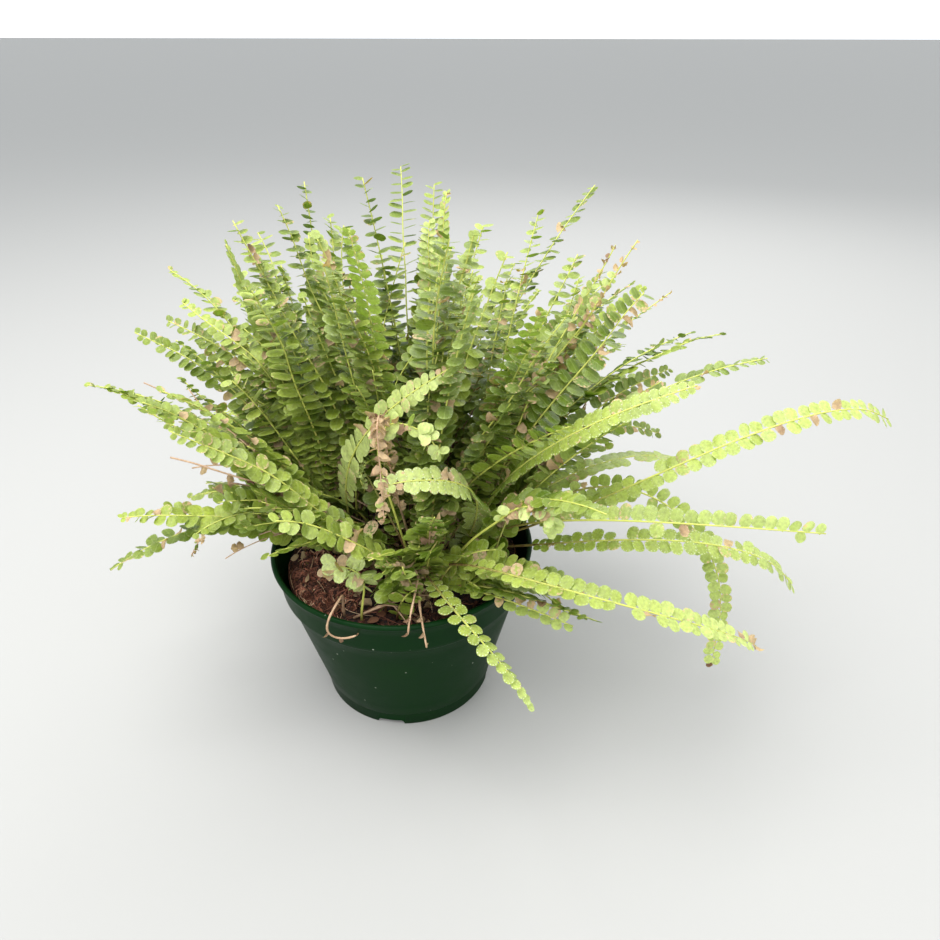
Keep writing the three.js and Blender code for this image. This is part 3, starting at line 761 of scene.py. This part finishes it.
def new_frond_bmesh():
    bm = bmesh.new()
    bm.verts.layers.float_color.new(LEAF_LAYER)
    bm.loops.layers.uv.new(LEAFLET_UV)
    return bm


def leaf_materials():
    return [material("fern_leaf_tissue", leaf_tissue), material("wiry_fern_stalk", wiry_stalk)]


# ---------------------------------------------------------------- pot


def arc(centre, radius, start, end, steps):
    """Points on an arc in the profile's plane, angles in degrees from the outward direction."""
    turns = [math.radians(start + (end - start) * i / steps) for i in range(steps + 1)]
    return [(centre[0] + radius * math.cos(t), centre[1] + radius * math.sin(t)) for t in turns]


def spun(profile, steps):
    """A closed solid of revolution from (radius, height) points that start and end on the axis."""
    bm = bmesh.new()
    verts = [bm.verts.new((radius, 0, height)) for radius, height in profile]
    edges = [bm.edges.new(pair) for pair in zip(verts, verts[1:])]
    bmesh.ops.spin(
        bm, geom=verts + edges, cent=(0, 0, 0), axis=(0, 0, 1), angle=2 * math.pi, steps=steps, use_merge=True
    )
    bmesh.ops.remove_doubles(bm, verts=bm.verts, dist=0.01 * MM)
    bmesh.ops.recalc_face_normals(bm, faces=bm.faces)
    return bm


def pot_profile(pot):
    """The pot's outline from the middle of its floor, up the outside, over the lip and back inside."""
    height, rim, wall, lip = POT_HIGH.z, RIM_RADIUS, pot.wall, pot.lip
    band_foot = height - pot.band
    body_top = rim - 6.4 * MM
    body_foot = rim - 23 * MM
    foot = body_foot - pot.foot_inset
    band = body_top + pot.band_step
    pad = 20 * MM
    lip_middle = (rim - lip, height - lip)
    outside = [
        (0, 0),
        (pad, 0),
        (pad + pot.floor, pot.floor),
        (foot - 2 * MM, pot.floor),
        (foot - 2 * MM, 0.6 * MM),
        (foot - 1.4 * MM, 0),
        (foot - 0.5 * MM, 0),
        (foot, 0.5 * MM),
        (foot, pot.foot - 0.6 * MM),
        (foot + 0.3 * MM, pot.foot),
        (body_foot - 0.2 * MM, pot.foot + 0.2 * MM),
        (body_foot + 0.1 * MM, pot.foot + 0.7 * MM),
    ]
    wall_points = []
    for i in range(1, 9):
        share = i / 9
        flank = body_foot + (body_top - body_foot) * share
        wall_points.append((flank, pot.foot + MM + (band_foot - 3 * MM - pot.foot) * share))
    step = [
        (body_top, band_foot - 2.6 * MM),
        (body_top + 0.5 * MM, band_foot - 1.7 * MM),
        (band - 0.5 * MM, band_foot - 0.6 * MM),
        (band, band_foot + 0.2 * MM),
        (band + 0.3 * MM, band_foot + 2 * MM),
        (band + 1.2 * MM, height - 9 * MM),
        (rim - 1.9 * MM, height - 4.2 * MM),
    ]
    lip_points = arc(lip_middle, lip, -50, 190, 14)
    inside = [
        (rim - 3.2 * MM, height - 4.5 * MM),
        (band - wall, band_foot + MM),
        (body_top - wall, band_foot - 2.6 * MM),
        (body_foot - wall, pot.foot + 1.4 * MM),
        (foot - wall - MM, pot.floor + wall),
        (pad + pot.floor, pot.floor + wall),
        (pad, wall),
        (0, wall),
    ]
    return outside + wall_points + step + lip_points + inside


def drain_cutters(pot):
    """Round holes through the floor and low arches in the foot ring, as one bmesh of cutters."""
    holes, hole_circle, hole_radius = 6, 38 * MM, 5 * MM
    arches, arch_circle, arch_size = 4, 51 * MM, (12 * MM, 16 * MM, 6 * MM)
    bm = bmesh.new()
    for i in range(holes):
        turn = (i + 0.5) / holes * 2 * math.pi
        place = Vector((hole_circle * math.cos(turn), hole_circle * math.sin(turn), pot.floor))
        bmesh.ops.create_cone(
            bm, cap_ends=True, segments=32, radius1=hole_radius, radius2=hole_radius, depth=8 * MM,
            matrix=Matrix.Translation(place),
        )
    for i in range(arches):
        part = bmesh.new()
        bmesh.ops.create_cube(part, size=1)
        bmesh.ops.scale(part, vec=arch_size, verts=part.verts)
        upper = [edge for edge in part.edges if all(vert.co.z > 0 for vert in edge.verts)]
        top = [edge for edge in upper if abs(edge.verts[0].co.y - edge.verts[1].co.y) < MM]
        bmesh.ops.bevel(
            part, geom=top, offset=2.4 * MM, offset_type="OFFSET", segments=5, profile=0.5,
            affect="EDGES", material=-1,
        )
        spin = Matrix.Rotation(i * math.pi / 2, 4, "Z")
        bmesh.ops.transform(part, matrix=spin @ Matrix.Translation((arch_circle, 0, 0)), verts=part.verts)
        absorb(bm, part)
    return bm


class FERN_OT_pot(bpy.types.Operator):
    """Moulds the round tapered pot with its lip, band, foot ring, drain holes and foot arches"""

    bl_idname = "fern.pot"
    bl_label = "Pot"

    def execute(self, context):
        pot = settings().pot
        body = bpy.data.meshes.new("pot_body")
        shell = spun(pot_profile(pot), 144)
        shell.to_mesh(body)
        shell.free()
        cut = bpy.data.meshes.new("pot_cut")
        cutters = drain_cutters(pot)
        cutters.to_mesh(cut)
        cutters.free()
        plain = bpy.data.objects.new("pot_plain", body)
        cutter = bpy.data.objects.new("pot_cutter", cut)
        for made in (plain, cutter):
            context.scene.collection.objects.link(made)
        boolean = plain.modifiers.new("drains", "BOOLEAN")
        boolean.object = cutter
        boolean.solver = "EXACT"
        boolean.use_self = True
        context.view_layer.update()
        finished = bmesh.new()
        finished.from_object(plain, context.evaluated_depsgraph_get())
        for made in (plain, cutter):
            bpy.data.objects.remove(made)
        for edge in finished.edges:
            sharp = len(edge.link_faces) == 2 and edge.calc_face_angle() > math.radians(50)
            edge.smooth = not sharp
        finish_piece(
            finished, "moulded_pot", [material("moulded_polypropylene", moulded_polypropylene)],
            ["pot"],
        )
        return {"FINISHED"}


# ---------------------------------------------------------------- potting mix


def mix_height(x, y):
    """The height of the mix at a place: lumpy, and a little lower by the wall."""
    share = math.hypot(x, y) / MIX_RADIUS
    lumps = noise.noise(Vector((x / (14 * MM), y / (14 * MM), 0))) * 3.0 * MM
    clods = noise.noise(Vector((x / (4.5 * MM), y / (4.5 * MM), 5))) * (1.8 + 2.6 * bare_patch(x, y)) * MM
    return MIX_LEVEL - 3.2 * MM * share**3 + (lumps + clods) * max(0.25, 1 - share**2)


def bare_patch(x, y):
    """How much of the open front left, where dry coir shows, a place belongs to: 0 to 1."""
    away = math.hypot(x + 42 * MM, y + 34 * MM)
    return min(max(1.3 - away / (25 * MM), 0), 1)


def scatter_place(rng, patch_share):
    """A random place on the mix, more often in the bare patch."""
    while True:
        turn, reach = rng.uniform(0, 2 * math.pi), MIX_RADIUS * math.sqrt(rng.random()) * 0.97
        x, y = reach * math.cos(turn), reach * math.sin(turn)
        if rng.random() < 1 - patch_share + patch_share * bare_patch(x, y):
            return Vector((x, y, mix_height(x, y)))


class FERN_OT_potting_mix(bpy.types.Operator):
    """Fills the pot with lumpy peat, and strews crumbs, coir fibres and bark over it"""

    bl_idname = "fern.potting_mix"
    bl_label = "Potting mix"

    def execute(self, context):
        sizes = settings().mix
        floor = MIX_LOW.z
        rings = 46
        edge_z = mix_height(MIX_RADIUS, 0)
        profile = [(0, floor), (20 * MM, floor), (25 * MM, floor + 5 * MM), (48 * MM, floor + 5 * MM)]
        profile += [(MIX_RADIUS - 16.5 * MM, 14 * MM), (MIX_RADIUS - 0.4 * MM, edge_z - 1.5 * MM)]
        profile += [(MIX_RADIUS * (rings - i) / rings, MIX_LEVEL) for i in range(rings + 1)]
        bm = spun(profile, 150)
        for vert in bm.verts:
            if vert.co.z > edge_z - MM:
                vert.co.z = mix_height(vert.co.x, vert.co.y)
        # The dry layer is high in the open bare patch. Elsewhere the mix is drawn darker, partly moist peat
        # and partly painted shade under the foliage.
        dry = bm.verts.layers.float.new("dry")
        for vert in bm.verts:
            vert[dry] = min(1, 1.6 * bare_patch(vert.co.x, vert.co.y))
        peat = material("peat_and_coir", peat_and_coir)
        finish_piece(bm, "peat_mix", [peat], ["potting_mix"])
        self.crumbs(sizes.crumbs, peat)
        self.fibres(sizes.fibres, sizes.clumps)
        return {"FINISHED"}

    def crumbs(self, count, peat):
        """Crumbs of peat and bark, from 1 to 5 mm across."""
        rng = random.Random(31)
        bm = bmesh.new()
        bm.verts.layers.float.new("dry")
        for i in range(count):
            part = bmesh.new()
            bmesh.ops.create_icosphere(part, subdivisions=1, radius=1)
            across = rng.uniform(0.5, 1.3) * MM if i % 7 else rng.uniform(1.3, 2.6) * MM
            shape = Vector((rng.uniform(0.7, 1.5), rng.uniform(0.6, 1.1), rng.uniform(0.4, 0.9))) * across
            for vert in part.verts:
                vert.co *= 1 + 0.35 * noise.noise(vert.co * 1.7 + Vector((i * 3.7, 0, 0)))
            place = scatter_place(rng, 0.35)
            angle = rng.uniform(0, 6.3)
            turn = Matrix.Rotation(angle, 4, Vector((rng.random(), rng.random(), 1)).normalized())
            matrix = Matrix.Translation(place + UP * across * 0.15) @ turn @ Matrix.Diagonal((*shape, 1))
            bmesh.ops.transform(part, matrix=matrix, verts=part.verts)
            # Crumbs outside the bare patch are drawn darker too, partly moist peat and partly painted shade
            # under the foliage.
            dry = part.verts.layers.float.new("dry")
            for vert in part.verts:
                vert[dry] = bare_patch(place.x, place.y) + rng.uniform(-0.3, 0.3)
            absorb(bm, part)
        finish_piece(bm, "peat_crumbs", [peat])

    def fibres(self, count, clumps):
        """Curved strands of coir, 6 to 26 mm long, that lie on the mix and bristle up a little."""
        rng = random.Random(37)
        bm = new_frond_bmesh()
        for _ in range(count):
            start = scatter_place(rng, 0.72)
            heading, curve = rng.uniform(0, 2 * math.pi), rng.uniform(-1.6, 1.6)
            length = rng.uniform(6, 24) * MM
            rise = rng.uniform(0, 0.45)
            point, sections = start + UP * 0.2 * MM, []
            for step in range(6):
                share = step / 5
                sections.append((point.copy(), UP))
                turn = heading + curve * share
                point += Vector((math.cos(turn), math.sin(turn), 0)) * length / 5
                reach = min(point.xy.length, MIX_RADIUS - MM)
                point.xy = point.xy.normalized() * reach
                arch = rise * length * math.sin(math.pi * share) * 0.4
                point.z = mix_height(point.x, point.y) + 0.3 * MM + arch
            thick = rng.uniform(0.12, 0.3) * MM
            tint = rng.random()
            strand = Line(sections, 3 * MM)
            look = (tint, 0, 0, 0)
            add_tube(bm, strand, lambda share: thick * (1 - 0.5 * share), 0, lambda share: look, 4, 3 * MM)
        for _ in range(clumps):
            self.clump(bm, rng)
        finish_piece(bm, "coir_fibres", [material("coir_fibre", coir_fibre)])

    def clump(self, bm, rng):
        """A tangle of short strands, 5 to 12 mm across, that stands up out of the mix."""
        middle = scatter_place(rng, 1.0)
        across = rng.uniform(2.5, 6) * MM
        for _ in range(34):
            axis = Vector((rng.gauss(0, 1), rng.gauss(0, 1), rng.gauss(0, 0.6))).normalized()
            around = axis.orthogonal().normalized()
            other = axis.cross(around)
            reach = across * rng.uniform(0.5, 1)
            first, sweep = rng.uniform(0, 6.3), rng.uniform(1.2, 3.5)
            sections = []
            for step in range(6):
                turn = first + sweep * step / 5
                point = middle + (around * math.cos(turn) + other * math.sin(turn)) * reach
                point.z = max(point.z, mix_height(point.x, point.y)) + 0.4 * MM
                point.xy = point.xy.normalized() * min(point.xy.length, MIX_RADIUS - 0.6 * MM)
                sections.append((point, axis))
            thick, tint = rng.uniform(0.18, 0.5) * MM, rng.uniform(0.0, 0.95)
            strand = Line(sections, 2 * MM)
            add_tube(bm, strand, lambda share: thick, 0, lambda share: (tint, 0, 0, 0), 4, 2.2 * MM)


# ---------------------------------------------------------------- crowns


class FERN_OT_crowns(bpy.types.Operator):
    """Builds the scaly crowns: a knobbly rootstock each, with chaffy scales and stubs of old stalks"""

    bl_idname = "fern.crowns"
    bl_label = "Crowns"

    def execute(self, context):
        for index, crown in enumerate(CROWNS):
            rng = random.Random(50 + index)
            low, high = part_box(crown)
            middle, half = (low + high) / 2, (high - low) / 2
            dome = new_frond_bmesh()
            layer = dome.verts.layers.float_color[LEAF_LAYER]
            bmesh.ops.create_uvsphere(dome, u_segments=32, v_segments=20, radius=1)
            for vert in dome.verts:
                knob = 1 + 0.16 * noise.noise(vert.co * 2.6 + Vector((index * 7, 0, 0)))
                vert.co = middle + vert.co * half * knob * 0.93
                vert[layer] = (0.35, 0, 0.35, 0)
            for face in dome.faces:
                face.material_index = 1
            bm = new_frond_bmesh()
            absorb(bm, dome)
            for _ in range(58):
                slope, turn = math.radians(rng.uniform(5, 80)), rng.uniform(0, 2 * math.pi)
                out = leaning(slope, turn)
                foot = middle + out * half * 0.95
                tip = (out + UP * 0.9 + Vector((rng.gauss(0, 0.3), rng.gauss(0, 0.3), 0))).normalized()
                wide = tip.cross(out).normalized()
                long = rng.uniform(3, 6) * MM
                matrix = placed(foot, tip, wide, tip.cross(wide)) @ Matrix.Diagonal((long, 1.3 * MM, long, 1))
                add_leaflet(bm, "curled", False, matrix, (rng.random(), 0, rng.uniform(1.2, 1.9), 0))
            for _ in range(13):
                heading = rng.uniform(0, 360)
                slope = math.radians(rng.uniform(5, 60))
                out = Vector((math.cos(math.radians(heading)), math.sin(math.radians(heading)), 0))
                foot = middle + out * half.x * 0.9 * math.sin(slope) + UP * half.z * 0.9 * math.cos(slope)
                length = rng.uniform(7, 24) * MM
                lean = (math.degrees(slope) * 0.5, math.degrees(slope) * 0.5 + rng.uniform(0, 30))
                stub = Line(habit_sections(foot, heading, 0, lean, 1, length, (0, 0), 5))
                shade = rng.uniform(0.3, 1)
                add_tube(bm, stub, lambda share: 0.8 * MM, 1, lambda share: (0.1, 0, shade, 0))
            finish_piece(bm, f"scaly_{crown}", leaf_materials(), [crown])
        return {"FINISHED"}


# ---------------------------------------------------------------- fronds

# What sets some of the CAD fronds apart from their kind.
SPECIAL = {
    "trailing_frond_right_long": dict(
        HABITS["trailing"], youth=(0.25, 0.75), kept_row=-1, width=0.86, facing=(0, 0)
    ),
    "trailing_frond_right_low": dict(
        HABITS["trailing"], youth=(0.0, 1.0), spent=(0.95, 1), length=0.8, lift=14
    ),
    "trailing_frond_front_right": dict(
        HABITS["trailing"], youth=(0.05, 0.95), lime=1.0, length=0.8, width=0.84, facing=(0.7, 0.7)
    ),
    "trailing_frond_front_short": dict(HABITS["trailing"], youth=(0.2, 1.0), lift=22),
    "arching_frond_right": dict(HABITS["trailing"], youth=(0.1, 0.75), jitter=10),
    "arching_frond_right_high": dict(HABITS["trailing"], youth=(0.1, 0.6)),
    "rising_frond_right": dict(HABITS["young"], youth=(0.1, 0.45)),
    "rising_frond_front": dict(HABITS["young"], youth=(0.7, 0.8), facing=(0, 0.1), lime=0.4, spent=(0.94, 1)),
    "crossing_frond_front": dict(HABITS["young"], youth=(0.5, 0.75), facing=(0, 0.1), lime=1.0, spacing=0.92),
    "hanging_frond_right": dict(HABITS["trailing"], youth=(0.1, 0.6), length=0.85, width=0.8),
    "pale_frond_front": dict(
        HABITS["curled"], length=1.0, width=0.98, spacing=0.46, facing=(0, 0), youth=(1, 1), gaps=0,
        dead=0.05, lime=0.6, bare=0.36, spent=(0.8, 1),
    ),
    "dry_frond_left": dict(HABITS["dry"], gaps=0.35),
}
# Which way a frond faces, where it turns out of the plane of its CAD blade.
FACES = {
    "hanging_frond_right": Vector((0.25, -1, 0.3)),
    "rising_frond_front": Vector((-0.3, -1, 0.8)),
    "pale_frond_front": Vector((0.2, -1, 0.7)),
}

# Curled and half dried fronds between the living ones: the points of their stalks in mm.
CURLED_SPRIGS = {
    "curled_sprig_front": [
        (15, -30, 95), (7, -37, 140), (2, -44, 182), (10, -49, 201), (25, -51, 200), (34, -50, 188)
    ],
    "curled_sprig_right": [
        (28, -26, 95), (44, -38, 128), (60, -50, 152), (72, -59, 168), (84, -62, 170), (88, -62, 160)
    ],
}


def habit_of(node):
    if node in SPECIAL:
        return SPECIAL[node]
    if node.startswith("dry"):
        return "dry"
    if node.startswith("fiddlehead"):
        return "fiddlehead"
    return "upright" if node.startswith(("upright", "tall")) else "frond"


class FERN_OT_fronds(bpy.types.Operator):
    """Grows stalk and leaflets along every CAD frond, and bark along every bare stalk"""

    bl_idname = "fern.fronds"
    bl_label = "Fronds"

    def execute(self, context):
        seed = settings().fronds.seed
        for index, node in enumerate(sorted(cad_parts)):
            if "frond" not in node and "stalk" not in node and "fiddlehead" not in node:
                continue
            rng = random.Random(seed * 1000 + index)
            sections = cad_sections(node)
            if node in FACES:
                sections = [(point, FACES[node]) for point, _ in sections]
            line = Line(sections)
            bm = new_frond_bmesh()
            if node.startswith("bare"):
                self.bare_stalk(bm, line, rng)
            else:
                add_frond(bm, line, habit_of(node), rng)
            name = f"{node}_bark" if "stalk" in node else f"{node}_leafy"
            finish_piece(bm, name, leaf_materials(), [node])
        rng = random.Random(seed)
        for name, points in CURLED_SPRIGS.items():
            bm = new_frond_bmesh()
            line = Line([(Vector(point) * MM, Vector((0.2, -1, 0.5))) for point in points])
            add_frond(bm, line, dict(HABITS["curled"], bare=0.45, spent=(0.34, 0.5)), rng)
            finish_piece(bm, name, leaf_materials())
        return {"FINISHED"}

    def bare_stalk(self, bm, line, rng):
        """A dead stalk: thin and knobbly, with one or two shrivelled leaflets left near its tip."""
        knobs = [rng.uniform(0.75, 1.25) for _ in range(40)]

        def radius(share):
            return 0.75 * MM * knobs[int(share * 39)] * (1.1 - 0.5 * share)

        add_tube(bm, line, radius, 1, lambda share: (0, 0, 0.55 + 0.3 * share, 0), 7, 2 * MM)
        for share in (0.72, 0.86, 0.97):
            sign = rng.choice((-1, 1))
            add_crumpled(bm, line, share, sign, 0.8, (3.6, 2.0), (0.4, 0, rng.uniform(1, 1.5), 0))


# Further fronds for each crown, from the middle outwards: ranges of where they leave the crown's
# dome, of their lean at the foot and at the tip, and of their length in mm. share is their part of the fill.
FILL_TIERS = {
    "upright": dict(share=0.34, slope=(0, 42), start=(0, 17), end=(8, 46), length=(115, 208)),
    "leaning": dict(share=0.30, slope=(14, 48), start=(14, 38), end=(44, 90), length=(95, 200)),
    "arching": dict(share=0.14, slope=(28, 56), start=(34, 54), end=(86, 128), length=(75, 165)),
    "short": dict(share=0.4, slope=(10, 70), start=(5, 55), end=(20, 95), length=(45, 105)),
    "bare": dict(share=0.09, slope=(5, 60), start=(10, 60), end=(30, 110), length=(70, 170)),
}


# The fronds at the front and right that were placed one by one, and that no other frond may hide.
SHOWN = [
    name
    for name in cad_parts
    if name.endswith(("_front", "_front_right", "_right", "_low", "_long", "_high")) and "frond" in name
]


FULLER = {"crown_left": 1.8}  # crowns with more fill fronds than the others


def shown_directions():
    """The directions in which the camera sees the fronds that nothing may hide."""
    points = [Vector(point) * MM for way in CURLED_SPRIGS.values() for point in way[2:]]
    for node in SHOWN:
        line = Line(cad_sections(node))
        points += [line.stations[i][0] for i in range(line.count // 4, line.count + 1, 2)]
    tree = kdtree.KDTree(len(points))
    for i, point in enumerate(points):
        tree.insert((point - EYE).normalized(), i)
    tree.balance()
    return tree, [(point - EYE).length for point in points]


def hides(point, shown):
    """Whether a leaflet at a point would stand between the camera and a frond that stays in view."""
    tree, distances = shown
    away = point - EYE
    near = tree.find_range(away.normalized(), 11 * MM / away.length)
    return any(distances[i] > away.length - 4 * MM for _, i, _ in near)


def stands_clear(line, shown):
    """Whether a frond keeps off the pot and the mix, hides nothing shown, and stays in the CAD box."""
    low, high = Vector(CAD_BOX[0]), Vector(CAD_BOX[1])
    inside_rim, outside_rim = RIM_RADIUS - 14 * MM, RIM_RADIUS + 10 * MM
    above_rim, above_mix, lowest_tip = POT_HIGH.z + 7 * MM, MIX_LEVEL + 10 * MM, 50 * MM
    for i in range(0, line.count + 1, 3):
        point = line.stations[i][0]
        reach = point.xy.length
        if i * 5 > line.count and hides(point, shown):
            return False
        if any(point[k] < low[k] + 4 * MM or point[k] > high[k] - 4 * MM for k in range(3)):
            return False
        if inside_rim < reach < outside_rim and point.z < above_rim:
            return False
        if reach >= outside_rim and point.z < lowest_tip:
            return False
        if EYE.z > point.z:
            sunk = EYE + (point - EYE) * (EYE.z - MIX_LEVEL) / (EYE.z - point.z)
            if bare_patch(sunk.x, sunk.y) > 0.05:
                return False
        if i > 12 and reach < RIM_RADIUS and point.z < above_mix:
            return False
    return True


class FERN_OT_fill_fronds(bpy.types.Operator):
    """Fills the plant out with tufts of further fronds, one tuft for each crown and tier"""

    bl_idname = "fern.fill_fronds"
    bl_label = "Fill fronds"

    def execute(self, context):
        sizes = settings().fronds
        noise.seed_set(sizes.seed)
        shown = shown_directions()
        for index, crown in enumerate(CROWNS):
            for tier_index, (tier, habit) in enumerate(FILL_TIERS.items()):
                rng = random.Random(sizes.seed * 77 + index * 10 + tier_index)
                bm = new_frond_bmesh()
                for _ in range(round(sizes.fill * habit["share"] * FULLER.get(crown, 1))):
                    line = self.drawn_line(crown, habit, rng, shown)
                    if line and tier == "bare":
                        self.bare_stalk(bm, line, rng)
                    elif line:
                        usual = tier if tier in HABITS else "frond"
                        look = rng.choices((usual, "young", "tired"), (0.8, 0.12, 0.08))[0]
                        add_frond(bm, line, look, rng)
                finish_piece(bm, f"{tier}_tuft_{crown}", leaf_materials())
        self.plantlets(sizes.plantlets, shown)
        return {"FINISHED"}

    def plantlets(self, count, shown):
        """Small fronds that sprout from runners between the crowns, so that little mix shows."""
        rng = random.Random(settings().fronds.seed * 5)
        bm = new_frond_bmesh()
        for _ in range(count):
            for _ in range(60):
                foot = scatter_place(rng, 0.0)
                if foot.xy.length > 60 * MM or bare_patch(foot.x, foot.y) > 0:
                    continue
                out = math.degrees(math.atan2(foot.y, foot.x)) + rng.uniform(-80, 80)
                lean = (rng.uniform(0, 45), rng.uniform(35, 100))
                roll = rng.uniform(-40, 40)
                length = rng.uniform(32, 85) * MM
                line = Line(habit_sections(foot, out, rng.uniform(-30, 30), lean, 1, length, (roll, roll)))
                if stands_clear(line, shown):
                    add_frond(bm, line, rng.choice(("short", "short", "short", "tired")), rng)
                    break
        finish_piece(bm, "plantlet_fronds", leaf_materials())

    def bare_stalk(self, bm, line, rng):
        """An old stalk that has lost its leaflets, but for a few crumpled ones."""
        thick, shade = rng.uniform(0.3, 0.5) * MM, rng.uniform(0.5, 1)
        add_tube(bm, line, lambda share: thick, 1, lambda share: (0.1, 0, shade, 0))
        for _ in range(rng.randrange(2, 7)):
            share, sign, ahead = rng.uniform(0.4, 1), rng.choice((-1, 1)), rng.uniform(-0.3, 1)
            add_crumpled(bm, line, share, sign, ahead, (5, 4), (0.4, 0.3, rng.uniform(0.8, 1.3), 0))

    def drawn_line(self, crown, habit, rng, shown):
        """A frond's line, drawn again until it stands clear."""
        low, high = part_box(crown)
        middle, half = (low + high) / 2, (high - low) / 2
        straight_out = math.degrees(math.atan2(middle.y, middle.x))
        central = crown == "crown_middle"
        for _ in range(60):
            heading = rng.uniform(0, 360) if central else straight_out + rng.gauss(0, 48)
            slope = math.radians(rng.uniform(*habit["slope"]))
            stand = math.radians(heading + rng.uniform(-30, 30))
            foot = middle + leaning(slope, stand) * half
            lean = (rng.uniform(*habit["start"]), rng.uniform(*habit["end"]))
            length = rng.uniform(*habit["length"]) * MM
            roll = rng.uniform(-40, 40)
            sections = habit_sections(
                foot, heading, rng.uniform(-28, 28), lean, rng.uniform(0.7, 1.6), length,
                (roll, roll + rng.uniform(-45, 45)),
            )
            # A slight wave along the line, nothing at the foot.
            shift = Vector((rng.uniform(-9, 9), rng.uniform(-9, 9), rng.uniform(-9, 9)))
            for i, (point, _) in enumerate(sections):
                point += noise.noise_vector(point * 22 + shift) * 5 * MM * i / len(sections)
            line = Line(sections)
            if stands_clear(line, shown):
                return line
        return None


# ---------------------------------------------------------------- litter


class FERN_OT_litter(bpy.types.Operator):
    """Strews fallen leaflets over the mix, and lays three dead stems across it"""

    bl_idname = "fern.litter"
    bl_label = "Litter"

    def execute(self, context):
        rng = random.Random(91)
        bm = new_frond_bmesh()
        for _ in range(settings().mix.litter):
            place = scatter_place(rng, 0.0) + UP * 1.4 * MM
            turn, tilt = rng.uniform(0, 2 * math.pi), rng.gauss(0, 0.35)
            matrix = Matrix.Translation(place) @ Matrix.Rotation(turn, 4, "Z") @ Matrix.Rotation(tilt, 4, "Y")
            long = rng.uniform(3.5, 7.5) * MM
            matrix = matrix @ Matrix.Diagonal((long, long * 0.8, long, 1))
            dryness = rng.uniform(0.7, 1.7)
            add_leaflet(bm, rng.choice(DRY + ["wavy"]), False, matrix, (rng.random(), 0.2, dryness, 0))
        # Stems on the mix at the front, by start in mm, heading and turn in degrees and length in mm.
        stems = ((-14, -58, 8, 46, 52), (-4, -40, -60, 35, 34), (20, -52, 200, -40, 30))
        for x, y, heading, turn, length in stems:
            point, sections = Vector((x * MM, y * MM, 0)), []
            for step in range(9):
                share = step / 8
                point.z = mix_height(point.x, point.y) + (1.5 + 9 * math.sin(math.pi * share)) * MM
                sections.append((point.copy(), UP))
                way = math.radians(heading + turn * share)
                point += Vector((math.cos(way), math.sin(way), 0)) * length * MM / 8
            look = (0, 0, 0.7, 0)
            add_tube(bm, Line(sections), lambda share: (0.75 - 0.4 * share) * MM, 1, lambda share: look)
        finish_piece(bm, "leaf_litter", leaf_materials())
        return {"FINISHED"}


# ---------------------------------------------------------------- stage


def aim(thing, place, target):
    """Puts a camera or a light at a place, facing a target."""
    thing.location = place
    thing.rotation_euler = (Vector(target) - Vector(place)).to_track_quat("-Z", "Y").to_euler()


class FERN_OT_stage(bpy.types.Operator):
    """Sets the pale floor, the soft studio lights and the camera"""

    bl_idname = "fern.stage"
    bl_label = "Stage"

    def execute(self, context):
        scene = context.scene
        stage = settings().stage
        bm = bmesh.new()
        bmesh.ops.create_grid(bm, x_segments=1, y_segments=1, size=30.0)
        mesh = bpy.data.meshes.new("floor")
        bm.to_mesh(mesh)
        bm.free()

        def plain_floor(tree, colours):
            return add_node(tree, "BsdfPrincipled", {"Base Color": stage.floor, "Roughness": 0.85}).outputs[0]

        mesh.materials.append(material("plain_floor", plain_floor))
        floor = bpy.data.objects.new("floor", mesh)
        scene.collection.objects.link(floor)

        world = bpy.data.worlds.new("studio")
        world.use_nodes = True
        world.node_tree.nodes["Background"].inputs["Color"].default_value = (0.92, 0.96, 1.0, 1)
        world.node_tree.nodes["Background"].inputs["Strength"].default_value = 1.35
        scene.world = world

        middle = (0.03, 0, 0.16)
        for name, place, watts, width in (
            ("key_overhead", (-0.3, -0.2, 1.5), 33, 1.2),
            ("fill_front", (0.5, -1.3, 0.8), 11, 1.0),
            ("rim_back", (0.3, 1.2, 1.0), 8, 0.8),
        ):
            light = bpy.data.lights.new(name, "AREA")
            light.energy = watts
            light.size = width
            lamp = bpy.data.objects.new(name, light)
            scene.collection.objects.link(lamp)
            aim(lamp, place, middle)

        camera = bpy.data.objects.new("camera", bpy.data.cameras.new("camera"))
        camera.data.lens = stage.lens
        camera.data.clip_start = 0.01
        scene.collection.objects.link(camera)
        aim(camera, EYE, (0.040, 0.0, 0.150))
        scene.camera = camera
        scene.view_settings.view_transform = "Standard"
        return {"FINISHED"}


# ---------------------------------------------------------------- add-on

OPERATORS = [
    FERN_OT_stage,
    FERN_OT_pot,
    FERN_OT_potting_mix,
    FERN_OT_crowns,
    FERN_OT_fronds,
    FERN_OT_fill_fronds,
    FERN_OT_litter,
]
GROUPS = [FernFrondSettings, FernPotSettings, FernMixSettings, FernColours, FernStageSettings, FernSettings]


class FERN_PT_panel(bpy.types.Panel):
    bl_label = "Button Fern"
    bl_idname = "FERN_PT_panel"
    bl_space_type = "VIEW_3D"
    bl_region_type = "UI"
    bl_category = "Button Fern"

    def draw(self, context):
        for operator in OPERATORS:
            self.layout.operator(operator.bl_idname)
        for name in ("fronds", "pot", "mix", "colours", "stage"):
            group = getattr(settings(), name)
            box = self.layout.box()
            for key in group.bl_rna.properties.keys():
                if key not in ("rna_type", "name"):
                    box.prop(group, key)


def register():
    for made in GROUPS + OPERATORS + [FERN_PT_panel]:
        bpy.utils.register_class(made)
    bpy.types.Scene.button_fern = PointerProperty(type=FernSettings)


def unregister():
    del bpy.types.Scene.button_fern
    for made in reversed(GROUPS + OPERATORS + [FERN_PT_panel]):
        bpy.utils.unregister_class(made)


def main():
    register()
    for operator in OPERATORS:
        group, name = operator.bl_idname.split(".")
        getattr(getattr(bpy.ops, group), name)()


if __name__ == "__main__":
    main()
